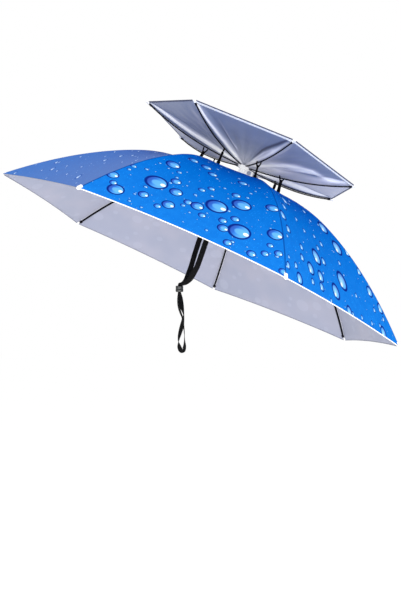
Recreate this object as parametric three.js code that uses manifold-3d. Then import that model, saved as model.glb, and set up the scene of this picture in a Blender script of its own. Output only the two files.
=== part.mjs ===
// Umbrella hat: a seven-gore canopy worn on the head, with a small second canopy
// turned up above its vent, an elastic headband and a flat chin strap.
// Millimetres, +Z up, -X is the wearer's front. The origin is the centre of the headband.
import * as THREE from 'three';
import { mergeVertices } from 'three/addons/utils/BufferGeometryUtils.js';
import Module from 'manifold-3d';

// Worn position
const wearTiltDeg = 24.4; // the hat's own axis leans back by this much
const seatHeight = 140; // headband centre above the plane of the main tips, along the hat's axis

// Canopies
const gores = 7;
const mainTipRadius = 475;
const mainRise = 228; // apex of the rods' parabola above the plane of the tips
const crownEase = 13; // how far the flatter crown lies below that parabola
const crownEaseRadius = 220;
const ventRadius = 88;
const mainHemRise = 0.008; // share of the gore's length that the hem curves in
const goreSag = 6;
const topTipRadius = 254;
const hubRibLift = 14; // small rods at the hub, above the parabola's apex
const topRise = 39.7;
const topBend = 2.4; // power of the small rods' upward bend
const topTwistDeg = -2.2; // the small canopy sits slightly turned on the hub
const creaseShare = 0.74; // where the fold beside each small rod lies, from mid gore
const clothWall = 1.1;

// Rods and caps
const mainRodDiameter = 4.4;
const topRodDiameter = 2.8;
const mainCapLength = 14;
const mainCapDiameter = 9;
const topCapLength = 11;
const topCapDiameter = 7;

// Crown
const flangeRadius = 20;
const flangeHeight = 10;
const neckRadius = 7.4;
const collarRadius = 13;
const collarHeight = 5;
const postRadius = 6;
const bossRadius = 11;
const bossDepth = 4; // under the flange; the stays start from its side
const crownCapRadius = 14;
const crownCapHeight = 5;
const crownFlatRadius = 10;

// Ties
const tieRadius = 96;
const tieWidth = 4.4;
const tieDepth = 3;
const tieFootWidth = 9;
const tieFootHeight = 4.5;
const tieFootEdge = 1;
const prongWidth = 2.2;
const prongReach = 9; // fork length below the small rod
const prongTaper = 0.8; // share of the prong's width at its end

// Headband and its stays
const bandHalfLength = 95;
const bandHalfWidth = 78;
const bandHeight = 28;
const bandThickness = 2.5;
const stayAnglesDeg = [45, 135, 225, 315];
const stayWidth = 12;
const stayThickness = 1.5;
const stayLap = 10; // how far each stay runs down the outside of the band

// Chin strap and slider
const tapeWidth = 12;
const tapeThickness = 1.2;
const strapAngleDeg = 105; // where the tape leaves the headband, from the back
const strapLap = 4; // tape end above the band's mid height
const sliderForward = 103;
const sliderTop = 174; // below the headband's centre
const sliderLength = 17;
const sliderDepth = 13;
const sliderHeight = 14;
const sliderHoleLength = 7;
const sliderHoleDepth = 7.8;
const sliderCorner = 5;
const sliderEdge = 2;
const tailLength = 130; // from under the slider to the fold of the doubled tape

const clearance = 0.3;
const clothClearance = 0.6; // between a curved rod and the cloth

const tilt = THREE.MathUtils.degToRad(wearTiltDeg);
const goreAngle = (2 * Math.PI) / gores;
const topTwist = THREE.MathUtils.degToRad(topTwistDeg);
const hubRibHeight = mainRise + hubRibLift; // above the plane of the main tips
const up = new THREE.Vector3(0, 0, 1);
const mainRodEnd = mainTipRadius - mainCapLength / 2 - clearance;
const topRodEnd = topTipRadius - topCapLength / 2 - clearance;

// Materials
function plain(color, roughness, metalness = 0) {
  return new THREE.MeshStandardMaterial({ color, roughness, metalness });
}
const printedCloth = plain(0x0a6fe0, 0.55);
const silverCloth = plain(0x8d99bd, 0.35, 0.4);
const blackRod = plain(0x14151c, 0.4);
const whitePlastic = plain(0xf2f2f0, 0.45);
const blackElastic = plain(0x0e0f12, 0.85);
const blackPlastic = plain(0x15171a, 0.35);

const model = new THREE.Group();
const hat = new THREE.Group();
hat.rotation.y = tilt;
model.add(hat);

function place(name, geometry, material, parent = hat) {
  const mesh = new THREE.Mesh(geometry, material);
  mesh.name = name;
  parent.add(mesh);
  return mesh;
}

// Closed bodies from rings of points. Each ring turns counterclockwise about the way of travel.
function loftRings(rings, closed = false) {
  const count = rings[0].length;
  const positions = rings.flat().flatMap((p) => [p.x, p.y, p.z]);
  const faces = [];
  const last = closed ? rings.length : rings.length - 1;
  for (let i = 0; i < last; i += 1) {
    for (let j = 0; j < count; j += 1) {
      const next = (j + 1) % count;
      const a = i * count + j;
      const b = i * count + next;
      const c = ((i + 1) % rings.length) * count + next;
      const d = ((i + 1) % rings.length) * count + j;
      faces.push(a, b, c, a, c, d);
    }
  }
  if (!closed) {
    const end = (rings.length - 1) * count;
    for (let j = 1; j < count - 1; j += 1) {
      faces.push(0, j + 1, j, end, end + j, end + j + 1);
    }
  }
  const geometry = new THREE.BufferGeometry();
  geometry.setAttribute('position', new THREE.Float32BufferAttribute(positions, 3));
  geometry.setIndex(faces);
  geometry.computeVertexNormals();
  return geometry;
}

// Solids for the one piece that is cut
const wasm = await Module();
wasm.setup();
function solidOf(geometry) {
  const bare = geometry.clone();
  bare.deleteAttribute('normal');
  bare.deleteAttribute('uv');
  const merged = mergeVertices(bare, 1e-3);
  const vertProperties = new Float32Array(merged.attributes.position.array);
  const triVerts = new Uint32Array(merged.index.array);
  return new wasm.Manifold(new wasm.Mesh({ numProp: 3, vertProperties, triVerts }));
}
function cutAway(geometry, tool) {
  const mesh = solidOf(geometry).subtract(solidOf(tool)).getMesh();
  const result = new THREE.BufferGeometry();
  result.setAttribute('position', new THREE.BufferAttribute(new Float32Array(mesh.vertProperties), 3));
  result.setIndex(new THREE.BufferAttribute(new Uint32Array(mesh.triVerts), 1));
  result.computeVertexNormals();
  return result;
}

// A flat strip: each section has a centre, a width direction, a width and a thickness.
function stripGeometry(sections) {
  const rings = sections.map(({ at, along, across, width, thickness }) => {
    const side = across.clone().multiplyScalar(width / 2);
    const face = new THREE.Vector3().crossVectors(along, across).multiplyScalar(thickness / 2);
    return [
      at.clone().add(side).add(face),
      at.clone().sub(side).add(face),
      at.clone().sub(side).sub(face),
      at.clone().add(side).sub(face),
    ];
  });
  return loftRings(rings);
}

// A cloth of even thickness round the axis: grid[row][column] is one face of it, and the other
// lies wall away along the cloth's normal, below it for side -1 and above it for side 1.
function clothGeometry(grid, wall, side) {
  const rows = grid.length;
  const columns = grid[0].length;
  const other = grid.map((row, i) => row.map((point, j) => {
    const before = grid[Math.max(i - 1, 0)][j];
    const after = grid[Math.min(i + 1, rows - 1)][j];
    const outward = new THREE.Vector3().subVectors(after, before);
    const round = new THREE.Vector3().subVectors(row[(j + 1) % columns], row[(j + columns - 1) % columns]);
    const normal = outward.cross(round).normalize();
    return point.clone().addScaledVector(normal, side * wall);
  }));
  const [upper, lower] = side < 0 ? [grid, other] : [other, grid];
  // Each column is a ring that runs out along the upper face and back along the lower one.
  const rings = grid[0].map((_, j) => [
    ...upper.map((row) => row[j]),
    ...lower.map((row) => row[j]).reverse(),
  ]);
  return loftRings(rings, true);
}

function polar(radius, angle, height) {
  return new THREE.Vector3(radius * Math.cos(angle), radius * Math.sin(angle), height - seatHeight);
}

// The normal of a curve in a rod's own upright plane: x is the radius, y the height.
function curveNormal(curve, radius, step = 0.5) {
  const slope = (curve(radius + step) - curve(radius - step)) / (2 * step);
  return new THREE.Vector2(-slope, 1).normalize();
}

function mainSeam(radius) {
  const ease = Math.max(0, 1 - (radius / crownEaseRadius) ** 2);
  return mainRise * (1 - (radius / mainTipRadius) ** 2) - crownEase * ease ** 2;
}
// The rods lie under the seams, where the cloth on both sides falls away.
const sagTurn = 0.12; // radians that the sag adds to the cloth's turn at a seam
const seamSpread = 1 / Math.cos(goreAngle / 2 + sagTurn);
const mainRodDrop = (clothWall + mainRodDiameter / 2 + clothClearance) * seamSpread;
function mainRodPoint(radius) {
  const normal = curveNormal(mainSeam, radius);
  return new THREE.Vector2(radius, mainSeam(radius)).addScaledVector(normal, -mainRodDrop);
}
function topRod(radius) {
  return hubRibHeight + topRise * (radius / topTipRadius) ** topBend;
}

function frontAngle(index) {
  return Math.PI - index * goreAngle;
}

// Main canopy
const mainRows = 14;
const mainColumns = 8;
function mainGrid() {
  const grid = [];
  const start = ventRadius / mainTipRadius;
  for (let i = 0; i <= mainRows; i += 1) {
    const row = [];
    for (let j = 0; j < gores * mainColumns; j += 1) {
      const share = (j % mainColumns) / mainColumns;
      const across = 2 * share - 1;
      const belly = 1 - across * across;
      const end = 1 - mainHemRise * belly;
      const along = start + ((end - start) * i) / mainRows;
      const radius = along * mainTipRadius;
      const from = Math.PI + Math.floor(j / mainColumns) * goreAngle;
      const height = mainSeam(radius);
      const point = polar(radius, from, height).lerp(polar(radius, from + goreAngle, height), share);
      const fall = curveNormal(mainSeam, radius);
      const middle = from + goreAngle / 2;
      const inward = new THREE.Vector3(fall.x * Math.cos(middle), fall.x * Math.sin(middle), fall.y);
      const sag = goreSag * belly * Math.sin((Math.PI * (along - start)) / (1 - start));
      row.push(point.addScaledVector(inward, -sag));
    }
    grid.push(row);
  }
  return grid;
}
place('main_canopy', clothGeometry(mainGrid(), clothWall, -1), printedCloth);

// Small canopy, turned up: a flat triangle in each gore, and a fold down to the rod at each side
const topRows = 8;
const foldShares = [-1, -creaseShare, -creaseShare / 2, 0, creaseShare / 2, creaseShare];
function topGrid() {
  const grid = [];
  const lift = topRodDiameter / 2 + clothClearance / 2;
  const start = (postRadius + clearance) / Math.cos(goreAngle / 2);
  for (let i = 0; i <= topRows; i += 1) {
    const row = [];
    for (let j = 0; j < gores * foldShares.length; j += 1) {
      const across = foldShares[j % foldShares.length];
      const share = (across + 1) / 2;
      const radius = start + ((topTipRadius - start) * i) / topRows;
      const from = Math.PI + Math.floor(j / foldShares.length) * goreAngle + topTwist;
      const onRod = across === -1;
      const flat = hubRibHeight + (topRise * radius) / topTipRadius;
      const height = (onRod ? topRod(radius) : flat) + lift;
      row.push(polar(radius, from, height).lerp(polar(radius, from + goreAngle, height), share));
    }
    grid.push(row);
  }
  return grid;
}
place('top_canopy', clothGeometry(topGrid(), clothWall, 1), silverCloth);

// Rods under both canopies
const rodSides = 3;
const rodSteps = 16;
function rodGeometry(curvePoint, angle, from, to, diameter, steps) {
  const points = [];
  for (let i = 0; i <= steps; i += 1) {
    const spot = curvePoint(from + ((to - from) * i) / steps);
    points.push(polar(spot.x, angle, spot.y));
  }
  const section = new THREE.Shape();
  section.absarc(0, 0, diameter / 2, 0, 2 * Math.PI);
  return new THREE.ExtrudeGeometry(section, {
    steps,
    curveSegments: rodSides,
    bevelEnabled: false,
    extrudePath: new THREE.CatmullRomCurve3(points),
  });
}

// A bullet-shaped cap whose axis carries on the rod's line
function capGeometry(length, diameter) {
  const half = length / 2;
  const round = diameter / 2;
  const profile = [
    new THREE.Vector2(0, -half),
    new THREE.Vector2(round * 0.9, -half),
    new THREE.Vector2(round, -half * 0.7),
    new THREE.Vector2(round, half * 0.35),
    new THREE.Vector2(round * 0.65, half * 0.85),
    new THREE.Vector2(0, half),
  ];
  return new THREE.LatheGeometry(profile, 8);
}

// Each cap lies against the same side of the cloth as its rod, so its axis drops below the rod's.
function placeRods({
  prefix, curvePoint, angleOf, inner, outer, diameter, capLength, capDiameter, capDrop, steps,
}) {
  for (let k = 0; k < gores; k += 1) {
    const angle = angleOf(k);
    const rod = rodGeometry(curvePoint, angle, inner, outer, diameter, steps);
    place(`${prefix}_rib_${k + 1}`, rod, blackRod);
    const end = curvePoint(outer);
    const way = end.clone().sub(curvePoint(outer - 1)).normalize();
    const below = new THREE.Vector2(way.y, -way.x);
    const centre = end.clone()
      .addScaledVector(way, capLength / 2 + clearance)
      .addScaledVector(below, capDrop);
    const cap = place(`${prefix}_tip_${k + 1}`, capGeometry(capLength, capDiameter), whitePlastic);
    cap.position.copy(polar(centre.x, angle, centre.y));
    const direction = new THREE.Vector3(way.x * Math.cos(angle), way.x * Math.sin(angle), way.y);
    cap.quaternion.setFromUnitVectors(new THREE.Vector3(0, 1, 0), direction);
  }
}
const mainInner = flangeRadius + clearance;
placeRods({
  prefix: 'main',
  curvePoint: mainRodPoint,
  angleOf: frontAngle,
  inner: mainInner,
  outer: mainRodEnd,
  diameter: mainRodDiameter,
  capLength: mainCapLength,
  capDiameter: mainCapDiameter,
  capDrop: ((mainCapDiameter - mainRodDiameter) / 2) * seamSpread,
  steps: rodSteps,
});
placeRods({
  prefix: 'top',
  curvePoint: (radius) => new THREE.Vector2(radius, topRod(radius)),
  angleOf: (k) => frontAngle(k) + topTwist,
  inner: collarRadius + clearance,
  outer: topRodEnd,
  diameter: topRodDiameter,
  capLength: topCapLength,
  capDiameter: topCapDiameter,
  capDrop: (topCapDiameter - topRodDiameter) / 2,
  steps: rodSteps / 2,
});

// Crown hub: boss, flange for the main rods, neck, collar for the small rods and post
const flangeMiddle = mainRodPoint(mainInner).y;
const flangeFoot = flangeMiddle - flangeHeight / 2;
const flangeCrest = flangeMiddle + flangeHeight / 2;
const collarCrest = hubRibHeight + topRodDiameter / 2;
const collarFoot = collarCrest - collarHeight;
const ringSegments = 28;
const bossEdge = 1.5;
const flangeEdge = 2;
const collarEdge = 1;
function coneHeight(radius) {
  return collarCrest + clothClearance / 2 + clothWall + clearance + (topRise * radius) / topTipRadius;
}
const hubProfile = [
  [0, flangeFoot - bossDepth],
  [bossRadius - bossEdge, flangeFoot - bossDepth],
  [bossRadius, flangeFoot - bossDepth + bossEdge],
  [bossRadius, flangeFoot],
  [flangeRadius - flangeEdge, flangeFoot],
  [flangeRadius, flangeFoot + flangeEdge],
  [flangeRadius, flangeCrest - flangeEdge],
  [flangeRadius - flangeEdge, flangeCrest],
  [neckRadius, flangeCrest],
  [neckRadius, collarFoot],
  [collarRadius, collarFoot + collarEdge],
  [collarRadius, collarCrest],
  [postRadius, collarCrest],
  [postRadius, coneHeight(0) - clearance],
  [0, coneHeight(0) - clearance],
];
function turned(profile) {
  const points = profile.map(([radius, height]) => new THREE.Vector2(radius, height - seatHeight));
  return new THREE.LatheGeometry(points, ringSegments).rotateX(Math.PI / 2);
}
place('hub', turned(hubProfile), whitePlastic);

// Cap nut over the small canopy's centre
const capRim = coneHeight(crownCapRadius);
const crownTop = capRim + crownCapHeight;
place('crown_cap', turned([
  [0, coneHeight(0)],
  [crownCapRadius, capRim],
  [crownCapRadius, capRim + crownCapHeight / 2],
  [crownFlatRadius, crownTop],
  [0, crownTop],
]), whitePlastic);

// Elastic ties: a foot on the main canopy, a stem and a fork round the small rod
function tieGeometry() {
  const foot = mainSeam(tieRadius - tieDepth / 2) + clearance;
  const rod = topRod(tieRadius);
  const height = rod - foot;
  const lean = tieRadius * Math.sin(topTwist);
  const gap = topRodDiameter / 2 + clearance;
  const forkFoot = height - topRodDiameter / 2 - prongReach / 2;
  const outline = [
    [-tieFootWidth / 2, 0],
    [tieFootWidth / 2, 0],
    [tieFootWidth / 2, tieFootHeight - tieFootEdge],
    [tieWidth / 2, tieFootHeight],
    [tieWidth / 2, forkFoot - prongReach / 2],
    [gap + prongWidth, forkFoot + prongReach / 3],
    [gap + prongWidth * prongTaper, height + topRodDiameter / 2],
    [gap, height + topRodDiameter / 2],
    [gap, height - topRodDiameter / 2],
    [0, forkFoot + prongReach / 6],
    [-gap, height - topRodDiameter / 2],
    [-gap, height + topRodDiameter / 2],
    [-gap - prongWidth * prongTaper, height + topRodDiameter / 2],
    [-gap - prongWidth, forkFoot + prongReach / 3],
    [-tieWidth / 2, forkFoot - prongReach / 2],
    [-tieWidth / 2, tieFootHeight],
    [-tieFootWidth / 2, tieFootHeight - tieFootEdge],
  ];
  const shape = new THREE.Shape(outline.map(([x, y]) => new THREE.Vector2(x + (lean * y) / height, y)));
  const geometry = new THREE.ExtrudeGeometry(shape, { depth: tieDepth, steps: 1, bevelEnabled: false });
  // Stand the outline upright, facing along the radius
  geometry.translate(0, 0, -tieDepth / 2);
  geometry.rotateX(Math.PI / 2);
  geometry.rotateZ(Math.PI / 2);
  geometry.translate(tieRadius, 0, foot - seatHeight);
  return geometry;
}
for (let k = 0; k < gores; k += 1) {
  const tie = place(`tie_${k + 1}`, tieGeometry(), blackElastic);
  tie.rotation.z = frontAngle(k);
}

// Headband: an oval ring on the hat's axis
const bandSegments = 48;
function bandPoint(angle, offset, height) {
  return new THREE.Vector3(
    (bandHalfLength + offset) * Math.cos(angle),
    (bandHalfWidth + offset) * Math.sin(angle),
    height,
  );
}
const bandRings = [];
for (let i = 0; i < bandSegments; i += 1) {
  const angle = (2 * Math.PI * i) / bandSegments;
  bandRings.push([
    bandPoint(angle, bandThickness, bandHeight / 2),
    bandPoint(angle, bandThickness, -bandHeight / 2),
    bandPoint(angle, 0, -bandHeight / 2),
    bandPoint(angle, 0, bandHeight / 2),
  ]);
}
place('headband', loftRings(bandRings, true), blackElastic);

// Stays: flat strips from under the flange, over the crown of the head, down to the band
const stayRows = [
  // out: share of the way from the boss to the band, down: share of the drop
  { out: 0, down: 0 },
  { out: 0.25, down: 0.03 },
  { out: 0.5, down: 0.13 },
  { out: 0.72, down: 0.31 },
  { out: 0.89, down: 0.54 },
  { out: 1, down: 0.8 },
  { out: 1, down: 1 },
];
stayAnglesDeg.forEach((degrees, k) => {
  const angle = THREE.MathUtils.degToRad(degrees);
  const outside = bandThickness + clothClearance + stayThickness / 2;
  const seat = bandPoint(angle, outside, bandHeight / 2 - stayLap);
  const reach = Math.hypot(seat.x, seat.y);
  const way = Math.atan2(seat.y, seat.x);
  const startRadius = bossRadius + clearance;
  const startHeight = flangeFoot - bossDepth / 2 - seatHeight;
  const centres = stayRows.map(({ out, down }) => {
    const radius = startRadius + (reach - startRadius) * out;
    return new THREE.Vector3(radius * Math.cos(way), radius * Math.sin(way),
      startHeight + (seat.z - startHeight) * down);
  });
  const across = new THREE.Vector3(-Math.sin(way), Math.cos(way), 0);
  // On the oval the strip turns flat to the band's face
  const face = new THREE.Vector3(Math.cos(angle) / bandHalfLength, Math.sin(angle) / bandHalfWidth, 0);
  const bandAcross = new THREE.Vector3().crossVectors(up, face).normalize();
  const sections = centres.map((at, i) => {
    const along = new THREE.Vector3().subVectors(
      centres[Math.min(i + 1, centres.length - 1)],
      centres[Math.max(i - 1, 0)],
    ).normalize();
    const turn = across.clone().lerp(bandAcross, i / (centres.length - 1));
    turn.addScaledVector(along, -turn.dot(along)).normalize();
    return { at, along, across: turn, width: stayWidth, thickness: stayThickness };
  });
  place(`band_stay_${k + 1}`, stripGeometry(sections), blackElastic);
});

// Chin strap: one flat tape from the band to the slider, doubled into a tail, and back.
// Its sides run in the upright frame, because the tape hangs.
const sideRows = [
  // down: share of the drop to the slider, fore: share of the way forward,
  // out: share of the headband's half width, pinch: share of the tape's width
  { down: 0, fore: 0, out: 1, pinch: 1 },
  { down: 0.18, fore: 0.135, out: 1, pinch: 1 },
  { down: 0.35, fore: 0.265, out: 0.99, pinch: 1 },
  { down: 0.51, fore: 0.39, out: 0.965, pinch: 1 },
  { down: 0.65, fore: 0.495, out: 0.92, pinch: 1 },
  { down: 0.79, fore: 0.6, out: 0.83, pinch: 1 },
  { down: 0.86, fore: 0.67, out: 0.73, pinch: 1 },
  { down: 0.925, fore: 0.74, out: 0.59, pinch: 0.97 },
  { down: 0.96, fore: 0.8, out: 0.46, pinch: 0.9 },
  { down: 0.985, fore: 0.87, out: 0.32, pinch: 0.8 },
  { down: 0.995, fore: 0.94, out: 0.17, pinch: 0.64 },
  { down: 1, fore: 1, out: 0.038, pinch: 0.48 },
];
// In the slider the two runs lie narrow and side by side
const pairDepth = 0.14; // share of the tape's width from the slider's middle to each run
const pairPinch = 0.45;
const pairTurn = 90;
const tailRows = [
  // drop: share of the tail's length, shift and depth: shares of the tape's width,
  // turn: degrees from edge-on, pinch: share of the tape's width
  { drop: 0, shift: 0.05, depth: -pairDepth, turn: pairTurn, pinch: pairPinch },
  { drop: 0.1, shift: 0.13, depth: -0.3, turn: 80, pinch: 0.9 },
  { drop: 0.25, shift: 0.4, depth: -0.54, turn: 52, pinch: 1 },
  { drop: 0.38, shift: 0.72, depth: -0.54, turn: 14, pinch: 1 },
  { drop: 0.47, shift: 0.6, depth: -0.54, turn: 32, pinch: 1 },
  { drop: 0.57, shift: 0.4, depth: -0.54, turn: 52, pinch: 1 },
  { drop: 0.67, shift: 0.12, depth: -0.54, turn: 50, pinch: 1 },
  { drop: 0.77, shift: -0.15, depth: -0.54, turn: 30, pinch: 1 },
  { drop: 0.84, shift: -0.22, depth: -0.54, turn: 8, pinch: 1 },
  { drop: 0.92, shift: -0.1, depth: -0.52, turn: -36, pinch: 1 },
  { drop: 0.975, shift: 0.12, depth: -0.36, turn: -50, pinch: 1 },
  { drop: 1, shift: 0.46, depth: 0, turn: -52, pinch: 1 },
  { drop: 0.985, shift: 0.84, depth: 0.36, turn: -50, pinch: 1 },
  { drop: 0.92, shift: 1.02, depth: 0.54, turn: -36, pinch: 1 },
  { drop: 0.83, shift: 1, depth: 0.54, turn: -14, pinch: 1 },
  { drop: 0.71, shift: 0.97, depth: 0.54, turn: -4, pinch: 1 },
  { drop: 0.57, shift: 0.82, depth: 0.54, turn: 4, pinch: 1 },
  { drop: 0.44, shift: 0.62, depth: 0.54, turn: 8, pinch: 1 },
  { drop: 0.36, shift: 0.3, depth: 0.54, turn: 12, pinch: 1 },
  { drop: 0.26, shift: 0, depth: 0.5, turn: 20, pinch: 1 },
  { drop: 0.1, shift: 0.02, depth: 0.3, turn: 70, pinch: 0.8 },
  { drop: 0, shift: -0.05, depth: pairDepth, turn: pairTurn, pinch: pairPinch },
];
const holeRowShare = 0.4; // how far down the slider its row of the tape lies
function strapSections() {
  const offset = bandThickness + clearance * 2 + tapeThickness / 2;
  const attach = THREE.MathUtils.degToRad(strapAngleDeg);
  const start = bandPoint(attach, offset, strapLap).applyAxisAngle(new THREE.Vector3(0, 1, 0), tilt);
  const endHeight = -sliderTop + tapeWidth / 4;
  const edgeTurn = 90; // the tape's width lies fore and aft
  const bandTurnRows = 3; // over these rows it turns out of the band's face
  const bandTurn = THREE.MathUtils.radToDeg(Math.atan2(
    -Math.cos(attach) * bandHalfWidth,
    Math.sin(attach) * bandHalfLength,
  ));
  const side = (sign) => sideRows.map(({ down, fore, out, pinch }, i) => ({
    at: new THREE.Vector3(
      start.x + (-sliderForward - start.x) * fore,
      sign * start.y * out,
      start.z + (endHeight - start.z) * down,
    ),
    turn: edgeTurn + bandTurn * Math.max(0, 1 - i / bandTurnRows),
    pinch,
  }));
  const tail = tailRows.map(({ drop, shift, depth, turn, pinch }) => ({
    at: new THREE.Vector3(
      -sliderForward + shift * tapeWidth,
      depth * tapeWidth,
      -sliderTop - sliderHeight - clearance - drop * tailLength,
    ),
    turn,
    pinch,
  }));
  const inHole = (sign) => ({
    at: new THREE.Vector3(
      -sliderForward,
      sign * pairDepth * tapeWidth,
      -sliderTop - sliderHeight * holeRowShare,
    ),
    turn: pairTurn,
    pinch: pairPinch,
  });
  const rows = [...side(-1), inHole(-1), ...tail, inHole(1), ...side(1).reverse()];
  return rows.map(({ at, turn, pinch }, i) => {
    const along = new THREE.Vector3().subVectors(
      rows[Math.min(i + 1, rows.length - 1)].at,
      rows[Math.max(i - 1, 0)].at,
    ).normalize();
    const depthWay = new THREE.Vector3(0, 1, 0);
    depthWay.addScaledVector(along, -depthWay.dot(along)).normalize();
    const sideWay = new THREE.Vector3().crossVectors(along, depthWay);
    const angle = THREE.MathUtils.degToRad(turn);
    const across = depthWay.multiplyScalar(Math.cos(angle)).addScaledVector(sideWay, Math.sin(angle));
    return {
      at,
      along,
      across,
      width: tapeWidth * pinch,
      thickness: tapeThickness * (1 + (1 - pinch)),
    };
  });
}
place('chin_strap', stripGeometry(strapSections()), blackElastic, model);

// Slider under the chin: a rounded block with one hole that both runs of tape pass through
function roundedBox(length, width, corner, steps) {
  const points = [];
  const centres = [[1, -1], [1, 1], [-1, 1], [-1, -1]];
  centres.forEach(([sideX, sideY], k) => {
    for (let i = 0; i <= steps; i += 1) {
      const angle = (Math.PI / 2) * (k - 1 + i / steps);
      points.push(new THREE.Vector2(
        sideX * (length / 2 - corner) + corner * Math.cos(angle),
        sideY * (width / 2 - corner) + corner * Math.sin(angle),
      ));
    }
  });
  return points;
}
const sliderShape = new THREE.Shape(roundedBox(sliderLength, sliderDepth, sliderCorner, 3));
const sliderBlock = new THREE.ExtrudeGeometry(sliderShape, {
  depth: sliderHeight - 2 * sliderEdge,
  steps: 1,
  bevelSegments: 2,
  bevelThickness: sliderEdge,
  bevelSize: sliderEdge,
  bevelOffset: -sliderEdge,
});
sliderBlock.translate(0, 0, sliderEdge - sliderHeight);
const sliderCutHeight = sliderHeight * 3; // past both ends
const sliderHole = new THREE.BoxGeometry(sliderHoleLength, sliderHoleDepth, sliderCutHeight);
const slider = place('strap_slider', cutAway(sliderBlock, sliderHole), blackPlastic, model);
slider.position.set(-sliderForward, 0, -sliderTop);

export default model;
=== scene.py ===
# Umbrella hat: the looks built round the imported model.
# Metres, +Z up, -X is the wearer's front. The origin is the centre of the headband.
import math

import bmesh
import bpy
import numpy as np
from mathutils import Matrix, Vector


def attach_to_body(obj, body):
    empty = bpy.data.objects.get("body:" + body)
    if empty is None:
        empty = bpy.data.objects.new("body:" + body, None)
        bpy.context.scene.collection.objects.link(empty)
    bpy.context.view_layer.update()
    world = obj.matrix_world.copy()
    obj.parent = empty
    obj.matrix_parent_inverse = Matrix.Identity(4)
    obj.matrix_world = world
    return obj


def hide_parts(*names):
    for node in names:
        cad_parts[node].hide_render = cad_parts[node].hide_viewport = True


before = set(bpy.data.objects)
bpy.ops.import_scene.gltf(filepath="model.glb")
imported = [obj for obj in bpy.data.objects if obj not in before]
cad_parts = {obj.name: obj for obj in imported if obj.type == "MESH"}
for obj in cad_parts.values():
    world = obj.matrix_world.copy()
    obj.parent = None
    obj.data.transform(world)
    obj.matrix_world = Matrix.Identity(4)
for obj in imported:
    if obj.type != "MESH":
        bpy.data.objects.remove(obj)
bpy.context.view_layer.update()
print("frame loaded:", len(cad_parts), "nodes")

# Sizes that several pieces share
hat = {
    "lean": math.radians(24.4),  # the hat's own axis leans back by this much
    "seat": 0.140,               # headband centre above the plane of the main tips
    "gores": 7,
    "tipRadius": 0.475,
    "rise": 0.228,
    "crownEase": 0.013,          # the crown lies this much lower than the rods' parabola
    "crownEaseRadius": 0.220,
    "backSwell": 0.0065,         # the rods at the back stand this much higher half way down
    "swellFrom": 0.040,          # radius where that swell begins
    "frontDip": 0.0035,          # and those in front this much lower by the vent
    "ventRadius": 0.088,
    "topTipRadius": 0.254,
    "topRodFoot": 0.242,         # small rods at the hub, above the plane of the main tips
    "topRise": 0.0397,
    "topBend": 2.4,
    "topTwist": math.radians(-2.2),
    "wall": 0.0011,
}
goreAngle = 2 * math.pi / hat["gores"]


def smoothStep(low, high, value):
    t = np.clip((np.asarray(value, float) - low) / (high - low), 0, 1)
    return t * t * (3 - 2 * t)


# x, y and height above the plane of the main tips, turned to the way the hat is worn
def fromHat(points):
    p = np.asarray(points, float)
    x, y, z = p[..., 0], p[..., 1], p[..., 2] - hat["seat"]
    c, s = math.cos(hat["lean"]), math.sin(hat["lean"])
    return np.stack([x * c + z * s, y, z * c - x * s], -1)


def ribAngle(k):
    return math.pi - k * goreAngle


# Camera at the photograph's angle
view = {
    "place": (-0.3329, -2.1986, -0.2273),
    "pitch": 0.53,
    "roll": 0.07,
    "yaw": -7.18,
    "lens": 59.68,
}


def makeCamera():
    data = bpy.data.cameras.new("photoCamera")
    data.lens = view["lens"]
    data.clip_start, data.clip_end = 0.05, 80
    camera = bpy.data.objects.new("photoCamera", data)
    camera.location = view["place"]
    camera.rotation_euler = [math.radians(a) for a in (90 + view["pitch"], view["roll"], view["yaw"])]
    bpy.context.collection.objects.link(camera)
    bpy.context.scene.camera = camera


makeCamera()
print("camera placed")

# Soft, even studio light: a white surround and four large lamps, the strongest one low in front
studio = {
    "surround": 1.0,
    "floorHeight": -1.72,
    "floorSize": 60,
    "lights": [
        # place, aim, size, watts
        ((-2.6, -2.6, 2.6), (0, 0, 0.1), 1.6, 16),
        ((2.4, -2.4, 0.6), (0.1, 0, 0.1), 2.0, 24),
        ((-0.2, -2.5, -0.8), (0, 0, 0.1), 1.4, 36),
        ((0.6, 2.6, 2.4), (0, 0, 0.1), 1.8, 14),
    ],
}


def makeStudio():
    world = bpy.context.scene.world or bpy.data.worlds.new("studio")
    bpy.context.scene.world = world
    world.use_nodes = True
    surround = world.node_tree.nodes["Background"]
    surround.inputs["Color"].default_value = (1, 1, 1, 1)
    surround.inputs["Strength"].default_value = studio["surround"]
    bpy.context.scene.view_settings.view_transform = "Standard"
    for i, (place, aim, size, watts) in enumerate(studio["lights"]):
        data = bpy.data.lights.new(f"softLight{i + 1}", "AREA")
        data.size, data.energy = size, watts
        lamp = bpy.data.objects.new(data.name, data)
        lamp.location = place
        lamp.rotation_euler = (Vector(aim) - Vector(place)).to_track_quat("-Z", "Y").to_euler()
        bpy.context.collection.objects.link(lamp)
    half = studio["floorSize"] / 2
    corners = [(-half, -half), (half, -half), (half, half), (-half, half)]
    mesh = bpy.data.meshes.new("floor")
    mesh.from_pydata([(x, y, studio["floorHeight"]) for x, y in corners], [], [(0, 1, 2, 3)])
    floor = bpy.data.objects.new("floor", mesh)
    pale = bpy.data.materials.new("paleFloor")
    pale.use_nodes = True
    shader = pale.node_tree.nodes["Principled BSDF"]
    shader.inputs["Base Color"].default_value = (1, 1, 1, 1)
    shader.inputs["Roughness"].default_value = 1
    shader.inputs["Specular IOR Level"].default_value = 0
    mesh.materials.append(pale)
    bpy.context.collection.objects.link(floor)


makeStudio()
print("studio lit")


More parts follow.
